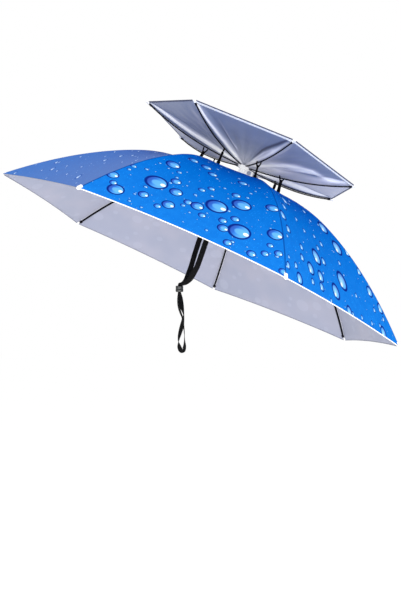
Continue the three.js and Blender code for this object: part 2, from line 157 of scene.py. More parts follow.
# Mesh helpers
def addMesh(name, points, faces, materials, slots=None, maps=None):
    mesh = bpy.data.meshes.new(name)
    mesh.from_pydata(np.asarray(points).tolist(), [], [list(map(int, f)) for f in faces])
    for material in materials:
        mesh.materials.append(material)
    mesh.polygons.foreach_set("use_smooth", [True] * len(mesh.polygons))
    if slots is not None:
        mesh.polygons.foreach_set("material_index", list(map(int, slots)))
    for mapName, values in (maps or {}).items():
        layer = mesh.uv_layers.new(name=mapName)
        layer.data.foreach_set("uv", np.asarray(values, float).reshape(-1))
    shell = bmesh.new()
    shell.from_mesh(mesh)
    bmesh.ops.recalc_face_normals(shell, faces=shell.faces)
    shell.to_mesh(mesh)
    shell.free()
    made = bpy.data.objects.new(name, mesh)
    bpy.context.collection.objects.link(made)
    return made


def finishPiece(piece, slot, *nodes):
    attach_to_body(piece, "root")
    if nodes:
        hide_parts(*nodes)
    return piece


def unit(v):
    v = np.asarray(v, float)
    return v / np.maximum(np.linalg.norm(v, axis=-1, keepdims=True), 1e-12)


# Faces of a loft through rings of equal length, with flat ends unless it closes on itself
def loftFaces(count, size, closed=False, first=0):
    faces = []
    for i in range(count if closed else count - 1):
        low, high = first + i * size, first + (i + 1) % count * size
        for j in range(size):
            nextJ = (j + 1) % size
            faces.append((low + j, low + nextJ, high + nextJ, high + j))
    if not closed:
        faces.append(tuple(first + j for j in reversed(range(size))))
        faces.append(tuple(first + (count - 1) * size + j for j in range(size)))
    return faces


# A smooth curve through a few chosen rows of numbers, each row a point and what goes with it
def smoothRows(rows, steps):
    rows = np.asarray(rows, float)
    padded = np.vstack([2 * rows[0] - rows[1], rows, 2 * rows[-1] - rows[-2]])
    made = []
    for i in range(1, len(padded) - 2):
        a, b, c, d = padded[i - 1:i + 3]
        for t in np.arange(steps) / steps:
            made.append(0.5 * (2 * b + (c - a) * t + (2 * a - 5 * b + 4 * c - d) * t ** 2
                               + (3 * b - a - 3 * c + d) * t ** 3))
    made.append(rows[-1])
    return np.array(made)


# Unit vectors round the circle that two directions span
def circleWays(sides, side, other):
    turn = np.arange(sides) * 2 * math.pi / sides
    return np.outer(np.cos(turn), side) + np.outer(np.sin(turn), other)


def onRay(angle, radius=1, height=0):
    return (radius * math.cos(angle), radius * math.sin(angle), height)


# A round rod along points, with slightly domed ends
def rodRings(points, radius, sides=12):
    points = np.asarray(points, float)
    along = unit(np.gradient(points, axis=0))
    side = unit(np.cross(along[0], (0.13, 0.94, 0.3)))
    rings = []
    for i, (place, way) in enumerate(zip(points, along)):
        side = unit(side - way * np.dot(side, way))
        reach = radius * (0.6 if i in (0, len(points) - 1) else 1)
        rings.append(place + reach * circleWays(sides, side, np.cross(way, side)))
    return rings


def joinRings(groups):
    points, faces = [], []
    for rings in groups:
        first = len(points)
        for ring in rings:
            points.extend(ring)
        faces.extend(loftFaces(len(rings), len(rings[0]), first=first))
    return np.array(points), faces


# Material slots of joined rings, when the last body of them has the second material
def lastBodySlots(faces, count, size):
    last = len(loftFaces(count, size))
    return [0] * (len(faces) - last) + [1] * last


# A turned body: a profile of radius and height round an axis through base
def turnedRings(profile, sides, base, axis, side):
    axis, side = unit(axis), unit(side)
    ways = circleWays(sides, side, np.cross(axis, side))
    return [np.asarray(base) + radius * ways + height * axis for radius, height in profile]


# Material helpers
def newMaterial(name):
    material = bpy.data.materials.new(name)
    material.use_nodes = True
    return material, material.node_tree, material.node_tree.nodes["Principled BSDF"]


def addNode(tree, kind, settings=None, **links):
    made = tree.nodes.new(kind)
    for key, value in (settings or {}).items():
        setattr(made, key, value)
    for key, value in links.items():
        number = key[1:]
        socket = made.inputs[int(number) if number.isdigit() else key.replace("_", " ")]
        if isinstance(value, bpy.types.NodeSocket):
            tree.links.new(value, socket)
        else:
            socket.default_value = value
    return made


def calc(tree, operation, a, b=0.0):
    return addNode(tree, "ShaderNodeMath", {"operation": operation}, i0=a, i1=b).outputs[0]


def fade(tree, value, low, high, toLow=0.0, toHigh=1.0):
    made = addNode(tree, "ShaderNodeMapRange", {"interpolation_type": "SMOOTHSTEP"},
                   i0=value, i1=low, i2=high, i3=toLow, i4=toHigh)
    return made.outputs[0]


def blendColor(tree, amount, a, b):
    made = tree.nodes.new("ShaderNodeMix")
    made.data_type = "RGBA"
    for number, value in ((0, amount), (6, a), (7, b)):
        if isinstance(value, bpy.types.NodeSocket):
            tree.links.new(value, made.inputs[number])
        elif number:
            made.inputs[number].default_value = (*value, 1)
        else:
            made.inputs[number].default_value = value
    return made.outputs[2]


def colorRamp(tree, value, stops):
    made = tree.nodes.new("ShaderNodeValToRGB")
    ramp = made.color_ramp
    while len(ramp.elements) < len(stops):
        ramp.elements.new(0.5)
    for element, (place, color) in zip(ramp.elements, stops):
        element.position = place
        element.color = (*color, 1)
    tree.links.new(value, made.inputs[0])
    return made.outputs[0]


def uvMap(tree, name):
    return addNode(tree, "ShaderNodeUVMap", {"uv_map": name}).outputs[0]


def split(tree, vector):
    made = addNode(tree, "ShaderNodeSeparateXYZ", i0=vector)
    return made.outputs[0], made.outputs[1]


def noise(tree, place, scale, detail):
    return addNode(tree, "ShaderNodeTexNoise", None, Vector=place, Scale=scale, Detail=detail).outputs["Fac"]


def objectPlace(tree):
    return addNode(tree, "ShaderNodeTexCoord").outputs["Object"]


# Base colour and bump of a material, and its other inputs as plain numbers
def finishShader(tree, shader, base, roughness, height, strength, distance, **others):
    tree.links.new(base, shader.inputs["Base Color"])
    shader.inputs["Roughness"].default_value = roughness
    for key, value in others.items():
        shader.inputs[key.replace("_", " ")].default_value = value
    bump = addNode(tree, "ShaderNodeBump", None, Height=height, Strength=strength, Distance=distance)
    tree.links.new(bump.outputs[0], shader.inputs["Normal"])


# The fine plain weave of coated cloth, in metres of cloth
def weaveHeight(tree, place, threads):
    made = []
    for direction in ("X", "Y"):
        made.append(addNode(tree, "ShaderNodeTexWave", {"bands_direction": direction},
                            Vector=place, Scale=threads, Distortion=0.3).outputs["Fac"])
    return calc(tree, "MULTIPLY", made[0], made[1])


# The same weave of a canopy, raised along its seams
def seamedWeave(tree, seam, seamWidth):
    weave = weaveHeight(tree, uvMap(tree, "clothMap"), 260)
    return calc(tree, "ADD", calc(tree, "MULTIPLY", weave, 0.15), fade(tree, seam, 0.0, seamWidth))


# One water drop: place is measured from its middle in drop radii, with the glint towards +x. Its
# light is 0 for a deep drop, 1 for one that shines all over and 2 for a mere pale fleck.
def makeDropGroup():
    tree = bpy.data.node_groups.new("waterDrop", "ShaderNodeTree")
    tree.interface.new_socket("Place", in_out="INPUT", socket_type="NodeSocketVector")
    tree.interface.new_socket("Light", in_out="INPUT", socket_type="NodeSocketFloat")
    tree.interface.new_socket("Color", in_out="OUTPUT", socket_type="NodeSocketColor")
    tree.interface.new_socket("Mask", in_out="OUTPUT", socket_type="NodeSocketFloat")
    given = tree.nodes.new("NodeGroupInput")
    place, light = given.outputs[0], given.outputs[1]
    out = tree.nodes.new("NodeGroupOutput")
    x, y = split(tree, place)
    reach = addNode(tree, "ShaderNodeVectorMath", {"operation": "LENGTH"}, i0=place).outputs["Value"]
    pale, faint = fade(tree, light, 0.0, 1.0), fade(tree, light, 1.0, 2.0)

    def spot(x0, y0, halfX, halfY):
        a = calc(tree, "POWER", calc(tree, "DIVIDE", calc(tree, "SUBTRACT", x, x0), halfX), 2.0)
        b = calc(tree, "POWER", calc(tree, "DIVIDE", calc(tree, "SUBTRACT", y, y0), halfY), 2.0)
        return calc(tree, "ADD", a, b)

    deep = colorRamp(tree, fade(tree, x, -0.85, 0.55), [
        (0.0, (0.030, 0.085, 0.44)),
        (0.3, (0.028, 0.150, 0.58)),
        (0.6, (0.050, 0.250, 0.70)),
        (1.0, (0.105, 0.385, 0.80)),
    ])
    core = fade(tree, spot(0.10, 0.0, 0.58, 0.46), 1.0, 0.45, 0.0, 0.75)
    deep = blendColor(tree, core, deep, (0.130, 0.430, 0.86))
    inside = fade(tree, spot(0.0, 0.0, 0.72, 0.70), 1.0, 0.5)
    shining = blendColor(tree, inside, (0.06, 0.30, 0.80), (0.33, 0.66, 0.95))
    color = blendColor(tree, pale, deep, shining)
    color = blendColor(tree, faint, color, (0.24, 0.40, 0.76))
    rimEdge = calc(tree, "ADD", calc(tree, "MULTIPLY", x, 0.04), 0.80)
    rimEdge = calc(tree, "SUBTRACT", rimEdge, calc(tree, "MULTIPLY", pale, 0.18))
    rim = fade(tree, calc(tree, "SUBTRACT", reach, rimEdge), -0.07, 0.05)
    rimColor = blendColor(tree, faint, (0.003, 0.020, 0.21), (0.05, 0.13, 0.44))
    color = blendColor(tree, rim, color, rimColor)
    narrow = fade(tree, spot(0.60, 0.04, 0.25, 0.22), 1.2, 0.5)
    wide = fade(tree, spot(0.26, 0.0, 0.34, 0.28), 1.2, 0.2, 0.0, 0.7)
    glint = calc(tree, "ADD", calc(tree, "MULTIPLY", narrow, calc(tree, "SUBTRACT", 1.0, pale)),
                 calc(tree, "MULTIPLY", wide, pale))
    color = blendColor(tree, glint, color, (0.88, 0.96, 1.0))
    tree.links.new(color, out.inputs[0])
    tree.links.new(fade(tree, reach, 1.05, 0.95), out.inputs[1])
    return tree


waterDrop = makeDropGroup()

# Print on the blue cloth: drops of many sizes
blueCloth = {
    "crown": (0.000, 0.072, 0.46),
    "middle": (0.001, 0.141, 0.575),
    "hem": (0.008, 0.176, 0.635),
    "seam": (0.002, 0.035, 0.24),
    "paintedSheen": (0.17, 0.215, 0.42),  # painted sheen and shade: the duller, paler look of a gore seen at a grazing angle and turned from the light
    "smallDrops": [
        # cells to the metre, share of cells with a drop, smallest and largest radius in metres, light
        (38, 0.40, 0.0022, 0.0044, 0.3),
        (80, 0.16, 0.0009, 0.0017, 0.5),
    ],
    "mottle": (0.0, 0.10, 0.50),
    "dots": (170, 0.45, 0.0013),  # cells to the metre, share of cells with a dot, radius
    "dotColor": (0.01, 0.25, 0.80),
}


def dropColor(tree, place, light):
    made = addNode(tree, "ShaderNodeGroup", {"node_tree": waterDrop}, i0=place, i1=light)
    return made.outputs[0], made.outputs[1]


# Drops scattered by cells: returns each point's place in its cell's drop, and whether the cell has one
def scattered(tree, place, cells, share, small, large):
    cell, room = [addNode(tree, "ShaderNodeTexVoronoi", {"voronoi_dimensions": "2D", "feature": feature},
                          Vector=place, Scale=cells, Randomness=0.75)
                  for feature in ("F1", "N_SPHERE_RADIUS")]
    chance = addNode(tree, "ShaderNodeSeparateColor", i0=cell.outputs["Color"])
    radius = fade(tree, chance.outputs[1], 0.0, 1.0, small, large)
    free = calc(tree, "DIVIDE", room.outputs["Radius"], cells * 1.1)
    radius = calc(tree, "MINIMUM", radius, free)
    away = addNode(tree, "ShaderNodeVectorMath", {"operation": "SUBTRACT"}, i0=place,
                   i1=cell.outputs["Position"]).outputs[0]
    scale = calc(tree, "DIVIDE", 1.0, radius)
    local = addNode(tree, "ShaderNodeVectorMath", {"operation": "SCALE"}, i0=away, Scale=scale)
    return local.outputs[0], calc(tree, "LESS_THAN", chance.outputs[0], share)


def blueBase(tree):
    across, along = split(tree, uvMap(tree, "goreMap"))
    paintedSheen, light = split(tree, uvMap(tree, "paintedLightMap"))
    base = colorRamp(tree, along, [(0.3, blueCloth["crown"]), (0.62, blueCloth["middle"]),
                                   (0.97, blueCloth["hem"])])
    place = uvMap(tree, "printMap")
    mottle = fade(tree, noise(tree, place, 70.0, 3.0), 0.35, 0.65, 0.0, 0.22)
    base = blendColor(tree, mottle, base, blueCloth["mottle"])
    cells, share, radius = blueCloth["dots"]
    local, chosen = scattered(tree, place, cells, share, radius * 0.4, radius)
    reach = addNode(tree, "ShaderNodeVectorMath", {"operation": "LENGTH"}, i0=local).outputs["Value"]
    base = blendColor(tree, calc(tree, "MULTIPLY", fade(tree, reach, 1.0, 0.4), chosen), base,
                      blueCloth["dotColor"])
    # Painted sheen, blended over the base before the drops
    base = blendColor(tree, paintedSheen, base, blueCloth["paintedSheen"])
    for cells, share, small, large, shine in reversed(blueCloth["smallDrops"]):
        local, chosen = scattered(tree, place, cells, share, small, large)
        color, mask = dropColor(tree, local, calc(tree, "MAXIMUM", light, shine))
        # where a gore's light is painted sheen above 1, its small drops fade
        mask = calc(tree, "MULTIPLY", mask, fade(tree, light, 1.0, 2.0, 1.0, 0.45))
        base = blendColor(tree, calc(tree, "MULTIPLY", mask, chosen), base, color)
    for name in ("nextDropMap", "dropMap"):
        color, mask = dropColor(tree, uvMap(tree, name), light)
        base = blendColor(tree, mask, base, color)
    return base, across, along


def seamDistance(tree, across, along, tipRadius):
    half = calc(tree, "MULTIPLY", along, tipRadius * math.sin(goreAngle / 2))
    return calc(tree, "MULTIPLY", calc(tree, "SUBTRACT", 1.0, calc(tree, "ABSOLUTE", across)), half)


def printedMaterial(name, tipRadius):
    material, tree, shader = newMaterial(name)
    base, across, along = blueBase(tree)
    seam = seamDistance(tree, across, along, tipRadius)
    base = blendColor(tree, fade(tree, seam, 0.0024, 0.0008, 0.0, 0.7), base, blueCloth["seam"])
    finishShader(tree, shader, base, 0.55, seamedWeave(tree, seam, 0.003), 0.5, 0.0006,
                 Specular_IOR_Level=0.02, IOR=1.1)
    return material


# Pale silver lavender inside of the main canopy, where the print shows through faintly
paleLining = {"color": (0.335, 0.355, 0.460), "near": (0.380, 0.385, 0.480), "print": (0.44, 0.46, 0.57)}


def paleMaterial():
    material, tree, shader = newMaterial("paleLining")
    across, along = split(tree, uvMap(tree, "goreMap"))
    cloud = fade(tree, noise(tree, uvMap(tree, "clothMap"), 9.0, 2.0), 0.35, 0.7)
    base = blendColor(tree, cloud, paleLining["color"], paleLining["near"])
    _, mask = dropColor(tree, uvMap(tree, "dropMap"), 0.0)
    base = blendColor(tree, calc(tree, "MULTIPLY", mask, 0.3), base, paleLining["print"])
    seam = seamDistance(tree, across, along, hat["tipRadius"])
    finishShader(tree, shader, base, 0.5, seamedWeave(tree, seam, 0.004), 0.5, 0.0006,
                 Specular_IOR_Level=0.15)
    return material


# Shiny silver underside of the small canopy: its colour is painted light, running from painted shade in dark
# creases to painted white shine
silverShadeAndShine = [
    (0.0, (0.012, 0.013, 0.025)),
    (0.22, (0.09, 0.10, 0.16)),
    (0.44, (0.215, 0.255, 0.365)),
    (0.62, (0.44, 0.45, 0.54)),
    (0.76, (0.66, 0.67, 0.76)),
    (0.95, (1.0, 1.0, 1.0)),
]


def silverMaterial():
    material, tree, shader = newMaterial("silverLining")
    paintedLight, _ = split(tree, uvMap(tree, "paintedLightMap"))
    cloth = uvMap(tree, "clothMap")
    wrinkle = noise(tree, cloth, 26.0, 3.0)
    shift = calc(tree, "MULTIPLY", calc(tree, "SUBTRACT", noise(tree, cloth, 14.0, 4.0), 0.5), 0.14)
    base = colorRamp(tree, calc(tree, "ADD", paintedLight, shift), silverShadeAndShine)
    height = calc(tree, "ADD", calc(tree, "MULTIPLY", weaveHeight(tree, cloth, 260), 0.1), wrinkle)
    finishShader(tree, shader, base, 0.4, height, 0.3, 0.0012, Specular_IOR_Level=0.5)
    return material


def plainCloth(name, color, roughness):
    material, tree, shader = newMaterial(name)
    place = objectPlace(tree)
    dim = tuple(c * 0.82 for c in color)
    base = blendColor(tree, noise(tree, place, 320.0, 2.0), dim, color)
    finishShader(tree, shader, base, roughness, weaveHeight(tree, place, 400), 0.4, 0.0004,
                 Specular_IOR_Level=0.25, Sheen_Weight=0.1)
    return material


# White binding tape with a thin dark line along its inner edge, and on the small canopy along its
# outer edge too. Its map holds the distance from the hem and the tape's width there, in metres.
def hemMaterial(name, line, lineWidth, outerLine):
    material, tree, shader = newMaterial(name)
    away, width = split(tree, uvMap(tree, "tapeMap"))
    inner = fade(tree, calc(tree, "SUBTRACT", width, away), lineWidth * 1.25, lineWidth * 0.75)
    outer = fade(tree, away, lineWidth * 1.25, lineWidth * 0.75, 0.0, outerLine)
    base = blendColor(tree, calc(tree, "MAXIMUM", inner, outer), (0.97, 0.97, 0.95), line)
    grain = noise(tree, objectPlace(tree), 900.0, 2.0)
    finishShader(tree, shader, base, 0.6, grain, 0.3, 0.0003, Specular_IOR_Level=0.25)
    return material


# Black woven tape: ribs across the tape and a bound edge, from a map in metres along it
def tapeMaterial(name, width, color=(0.0030, 0.0030, 0.0034)):
    material, tree, shader = newMaterial(name)
    place = uvMap(tree, "tapeMap")
    across, _ = split(tree, place)
    edge = fade(tree, calc(tree, "ABSOLUTE", across), width * 0.40, width * 0.46)
    ribs = addNode(tree, "ShaderNodeTexWave", {"bands_direction": "DIAGONAL"}, Vector=place, Scale=210.0,
                   Distortion=0.6).outputs["Fac"]
    base = blendColor(tree, ribs, color, tuple(c * 2 for c in color))
    base = blendColor(tree, calc(tree, "MULTIPLY", edge, 0.5), base, tuple(c * 2.6 for c in color))
    finishShader(tree, shader, base, 0.8, calc(tree, "ADD", ribs, edge), 0.6, 0.0004, Specular_IOR_Level=0.08)
    return material


# Moulded or lacquered: a faint stain, a fine grain and, where given, a painted edge tone blended in where the
# surface turns edge-on to the view
def mouldedMaterial(name, color, roughness, spread=0.06, rim=None, **others):
    material, tree, shader = newMaterial(name)
    place = objectPlace(tree)
    dim = tuple(max(c - spread, 0) for c in color)
    base = blendColor(tree, noise(tree, place, 45.0, 2.0), dim, color)
    # rim: painted shade at the edges of the caps and the lug's eye, painted sheen at the slider's edges
    if rim:
        facing = addNode(tree, "ShaderNodeLayerWeight", None, Blend=0.35).outputs["Facing"]
        base = blendColor(tree, fade(tree, facing, 0.45, 0.95), base, rim)
    finishShader(tree, shader, base, roughness, noise(tree, place, 420.0, 3.0), 0.15, 0.0003, **others)
    return material


printedOutside = printedMaterial("printedCloth", hat["tipRadius"])
printedTop = printedMaterial("printedTopCloth", hat["topTipRadius"])
liningInside = paleMaterial()
silverUnder = silverMaterial()
hemWhite = hemMaterial("hemTape", (0.01, 0.05, 0.30), 0.0006, 0.0)
hemDull = plainCloth("hemDullGrey", (0.36, 0.38, 0.48), 0.6)
hemLined = hemMaterial("hemLinedTape", (0.05, 0.06, 0.12), 0.0020, 1.0)
# a dark strip on the narrow inner side of the hem tapes
hemDarkStrip = plainCloth("hemDarkStrip", (0.10, 0.11, 0.19), 0.6)
# pocket cloth: partly its own pale colour, partly a painted highlight along the rods
pocketClothShine = plainCloth("pocketClothShine", (0.66, 0.67, 0.76), 0.55)
rodBlack = mouldedMaterial("rodLacquer", (0.006, 0.006, 0.010), 0.5, 0.003, Specular_IOR_Level=0.08)
# the caps' last colour is painted shade at their edges
capWhite = mouldedMaterial("capPlastic", (0.93, 0.93, 0.92), 0.35, 0.04, (0.42, 0.44, 0.52))
hubWhite = mouldedMaterial("hubPlastic", (1.0, 1.0, 1.0), 0.4, 0.01)
# a darker grey for the eye in the hub's block, and painted shade at its edge
eyeGrey = mouldedMaterial("lugPlastic", (0.36, 0.39, 0.50), 0.2, 0.12, (0.10, 0.11, 0.16), Coat_Weight=0.4)
elasticBlack = tapeMaterial("bandElastic", 0.028, (0.004, 0.004, 0.005))
strapBlack = tapeMaterial("strapTape", 0.012)
tieBlack = mouldedMaterial("tieElastic", (0.004, 0.0035, 0.004), 0.6, 0.002, Specular_IOR_Level=0.06)
# painted highlight: the brownish glint at the foot of each tie, given to the whole knot
knotGlintBrown = mouldedMaterial("tieKnot", (0.045, 0.026, 0.018), 0.5, 0.02)
# the slider's last colour is a painted sheen: its pale grey-green glint, laid along its edges
sliderBlack = mouldedMaterial("sliderPlastic", (0.008, 0.010, 0.010), 0.35, 0.004, (0.05, 0.06, 0.058),
                              Coat_Weight=0.2)
print("materials made")


# How the print lies on each gore: which way the glint faces, how the drops are stretched, in the
# gore's own plane of across and along, and the drops that were charted
prints = {
    5: {
        "grow": 1.05,
        "glint": 172,
        "stretch": 1.15,
        "stretchWay": 85,
        "drops": [
            # across: share of the half width, along: share of the tip radius, radius in millimetres
            (0.58, 0.81, 22), (-0.17, 0.80, 22), (-0.50, 0.89, 22), (-0.45, 0.72, 19.5), (-0.90, 0.82, 15.5),
            (-0.90, 0.65, 13.5), (0.77, 0.94, 15.5), (0.96, 0.87, 11.5), (0.32, 0.82, 13), (0.74, 0.63, 14.5),
            (0.27, 0.91, 12.5), (0.02, 0.85, 13), (0.13, 0.85, 8.5), (0.54, 0.91, 10), (0.44, 0.75, 10.5),
            (-0.33, 0.91, 11), (-0.30, 0.87, 8.5), (-0.42, 0.83, 9), (-0.42, 0.97, 8.5), (-0.66, 0.97, 9),
            (-0.79, 0.94, 7.5), (-0.93, 0.91, 8), (-0.34, 0.66, 9.5), (-0.38, 0.51, 10.5), (0.19, 0.55, 10),
            (0.41, 0.50, 11.5), (0.72, 0.49, 10.5), (0.86, 0.91, 7), (0.34, 0.94, 7), (0.11, 0.73, 7.5),
            (0.02, 0.69, 7.5), (0.55, 0.67, 5.5), (-0.08, 0.89, 7.5), (0.15, 0.88, 5), (0.96, 0.77, 6),
            (-0.84, 0.89, 6.5), (-0.97, 0.98, 7.5),
        ],
    },
    4: {
        "glint": 42,
        # light: painted sheen that pales the drops on this gore
        "light": 0.35,
        "grow": 0.98,
        "stretch": 1.9,
        "stretchWay": 76,
        "drops": [
            (-0.69, 0.63, 15), (-1.0, 0.62, 9.5), (-0.76, 0.51, 14), (0.27, 0.80, 14.5), (0.11, 0.80, 7.5),
            (-0.19, 0.85, 17), (0.08, 0.93, 13.5), (0.51, 0.89, 11), (0.33, 0.90, 10), (0.77, 0.97, 9.5),
            (0.95, 0.94, 6), (0.81, 0.92, 5.5), (0.65, 0.86, 6.5), (0.93, 0.90, 3.5), (0.60, 0.80, 6),
            (0.84, 0.74, 7.5), (0.89, 0.66, 10), (0.43, 0.46, 11.5), (0.40, 0.60, 5), (0.30, 0.66, 5),
            (0, 0.65, 5), (-0.11, 0.68, 6), (0.37, 0.95, 7.5), (0.53, 0.95, 5.5), (-0.89, 0.81, 10),
            (-0.93, 0.72, 7.5), (-0.95, 0.87, 9.5), (-0.08, 0.99, 10), (-0.73, 0.985, 10.5),
            (-0.75, 0.90, 4.5),
            (-0.34, 0.51, 4.5), (-0.48, 0.43, 6.5), (0.7, 0.56, 8), (0.1, 0.73, 5.5), (-0.4, 0.74, 5),
        ],
    },
    # light 2.0: painted sheen, the drops on this gore shown as pale flecks
    6: {"light": 2.0, "glint": 138, "stretch": 3.4, "stretchWay": -42, "count": 26, "radii": (3, 6.5)},
}
otherPrint = {"glint": 160, "stretch": 1.0, "stretchWay": 0, "count": 44, "radii": (6, 21)}
chance = np.random.RandomState(31)


def mainArc(radius):
    k = 2 * hat["rise"] / hat["tipRadius"] ** 2
    return 0.5 * (radius * np.sqrt(1 + (k * radius) ** 2) + np.arcsinh(k * radius) / k)


# Flat cloth coordinates in metres: across the gore, and along it from the crown
def clothPlace(across, along, tipRadius, arc):
    radius = along * tipRadius
    return np.stack([across * radius * math.sin(goreAngle / 2), arc(radius)], -1)


def printPlace(cloth, style, offset):
    turn, way = math.radians(style["glint"]), math.radians(style["stretchWay"])
    d = np.array([math.cos(way), math.sin(way)])
    squeeze = np.eye(2) - (1 - 1 / style["stretch"]) * np.outer(d, d)
    spin = np.array([[math.cos(turn), math.sin(turn)], [-math.sin(turn), math.cos(turn)]])
    return cloth @ (spin @ squeeze).T + (offset, 0)


# Drops of a gore as place and radius in print coordinates
def goreDrops(style, offset, tipRadius, arc, start):
    if "drops" in style:
        across, along, radius = np.array(style["drops"]).T
        places = printPlace(clothPlace(across, along, tipRadius, arc), style, offset)
        return places, radius / 1000 * style.get("grow", 1)
    places, radii = [], []
    small, large = style["radii"]
    for _ in range(style["count"] * 6):
        across, along = chance.uniform(-0.96, 0.96), math.sqrt(chance.uniform(start ** 2, 0.97))
        radius = (small + (large - small) * chance.uniform() ** 2.6) / 1000
        place = printPlace(clothPlace(np.array(across), np.array(along), tipRadius, arc), style, offset)
        apart = [np.linalg.norm(place - p) - r for p, r in zip(places, radii)]
        if min(apart, default=1) > radius + 0.004:
            places.append(place)
            radii.append(radius)
        if len(places) == style["count"]:
            break
    return np.array(places), np.array(radii)


# A canopy of seven gores as one closed cloth body. pointAt gives the face that the rods follow, and
# the other face lies a wall away on the given side. Both faces carry the same maps.
def canopyCloth(name, pointAt, columns, rows, tipRadius, arc, side, materials, styles, paintedLightAt):
    gores = hat["gores"]
    share = np.linspace(-1, 1, columns + 1)
    share = (share + np.sin(share * math.pi / 2)) / 2  # finer beside the seams
    across, along = np.meshgrid(share[:-1], rows)
    grid = np.concatenate([pointAt(g, across, along) for g in range(gores)], 1)
    outward = np.gradient(grid, axis=0)
    aroundWay = np.roll(grid, -1, 1) - np.roll(grid, 1, 1)
    normal = unit(np.cross(aroundWay, outward))
    normal *= np.sign(normal[..., 2:3])
    other = grid + normal * hat["wall"] * side
    upper, lower = (other, grid) if side > 0 else (grid, other)
    count, around = grid.shape[:2]
    points = fromHat(np.concatenate([upper.reshape(-1, 3), lower.reshape(-1, 3)]))
    half = count * around
    faces, slots = [], []
    names = ("goreMap", "clothMap", "paintedLightMap", "printMap", "dropMap", "nextDropMap")
    maps = {mapName: [] for mapName in names}
    for g in range(gores):
        style, offset = styles(g)
        across, along = np.meshgrid(share, rows)
        gore = np.stack([across, along], -1)
        # painted light and shade of this gore's faces: sheen on the main canopy, crease shade and shine on
        # the small one
        paintedLight = paintedLightAt(g, across, along)
        cloth = clothPlace(across, along, tipRadius, arc)
        onPrint = printPlace(cloth, style, offset)
        centres, radii = goreDrops(style, offset, tipRadius, arc, rows[0])
        middle = (onPrint[:-1, :-1] + onPrint[1:, 1:]) / 2
        order = (np.linalg.norm(middle[:, :, None] - centres, axis=-1) - radii).argsort(-1)
        for i in range(count - 1):
            for j in range(columns):
                a, b = g * columns + j, (g * columns + j + 1) % around
                quad = [(i, j, a), (i + 1, j, a), (i + 1, j + 1, b), (i, j + 1, b)]
                first, second = order[i, j, :2]
                for level in (0, 1):
                    faces.append([level * half + r * around + c for r, _, c in quad])
                    slots.append(level)
                    for r, q, _ in quad:
                        maps["goreMap"].append(gore[r, q])
                        maps["clothMap"].append(cloth[r, q])
                        maps["paintedLightMap"].append((paintedLight[r, q], style.get("light", 0)))
                        maps["printMap"].append(onPrint[r, q])
                        maps["dropMap"].append((onPrint[r, q] - centres[first]) / radii[first])
                        maps["nextDropMap"].append((onPrint[r, q] - centres[second]) / radii[second])
    for row in (0, count - 1):
        for c in range(around):
            a, b = row * around + c, row * around + (c + 1) % around
            faces.append([a, half + a, half + b, b])
            slots.append(1)
            for values in maps.values():
                values.extend([(9.0, 9.0)] * 4)
    return addMesh(name, points, faces, materials, slots, maps)


# Place over the straight line between two rods, at a share t of the way
def betweenRods(a0, a1, t, radius):
    return (radius * (math.cos(a0) * (1 - t) + math.cos(a1) * t),
            radius * (math.sin(a0) * (1 - t) + math.sin(a1) * t))


# Main canopy: seams on parabolas over the rods, each gore sagging a little between them
mainCloth = {
    "columns": 52,
    "rowCount": 96,
    "sag": 0.006,
    "hemRise": [0.008, 0.008, 0.008, 0.008, 0.011, 0.017, 0.008],  # share of the tip radius, by gore
    "pucker": 0.0007,
    "puckers": 63,
    "paintedSheen": [0.40, 0.35, 0.30, 0.10, 0.0, 0.0, 0.46],  # by gore, how much painted sheen lies on it
}


# Height of the cloth over the rod that stands at an angle
def mainSeam(radius, angle):
    ease = np.maximum(0, 1 - (radius / hat["crownEaseRadius"]) ** 2)
    height = hat["rise"] * (1 - (radius / hat["tipRadius"]) ** 2) - hat["crownEase"] * ease ** 2
    way = math.cos(angle)
    down = np.clip((radius - hat["swellFrom"]) / (hat["tipRadius"] - hat["swellFrom"]), 0, 1)
    swell = hat["backSwell"] * max(way, 0) * np.sin(math.pi * down ** 0.75) ** 0.7
    dip = hat["frontDip"] * max(-way, 0) * np.exp(-((radius - 0.12) / 0.06) ** 2)
    return height + swell - dip


def mainSlope(radius, angle):
    return (mainSeam(radius + 0.0005, angle) - mainSeam(radius - 0.0005, angle)) / 0.001


def mainPoint(g, across, along):
    belly = 1 - across ** 2
    start = hat["ventRadius"] / hat["tipRadius"]
    reach = start + (along - start) * (1 - mainCloth["hemRise"][g] * belly / (1 - start))
    radius = reach * hat["tipRadius"]
    a0, a1 = ribAngle(g), ribAngle(g + 1)
    t = (across + 1) / 2
    height = mainSeam(radius, a0) * (1 - t) + mainSeam(radius, a1) * t
    x, y = betweenRods(a0, a1, t, radius)
    slope = mainSlope(radius, a0) * (1 - t) + mainSlope(radius, a1) * t
    size = np.sqrt(1 + slope ** 2)
    middle = (a0 + a1) / 2
    sag = mainCloth["sag"] * belly * np.sin(math.pi * np.clip((along - start) / (1 - start), 0, 1))
    seamNear = np.abs(across) ** 6 * (1 - np.abs(across) ** 30)  # small tucks run along the seams
    depth = sag + mainCloth["pucker"] * seamNear * np.sin(along * mainCloth["puckers"] + g)
    return np.stack([x + slope / size * math.cos(middle) * depth,
                     y + slope / size * math.sin(middle) * depth,
                     height - depth / size], -1)


# Painted sheen of the main canopy: a share by gore, a little more on the side of each gore where across is
# below zero
def mainPaintedSheen(g, across, along):
    return mainCloth["paintedSheen"][g] * (1 - 0.25 * across) + 0 * along


def mainStyle(g):
    return prints.get(g, otherPrint), float(g)


rows = np.linspace(hat["ventRadius"] / hat["tipRadius"], 1, mainCloth["rowCount"] + 1)
mainCanopy = canopyCloth("mainCanopyCloth", mainPoint, mainCloth["columns"], rows, hat["tipRadius"],
                         mainArc, -1, [printedOutside, liningInside], mainStyle, mainPaintedSheen)
finishPiece(mainCanopy, "printed_cloth", "main_canopy")
print("main canopy made")
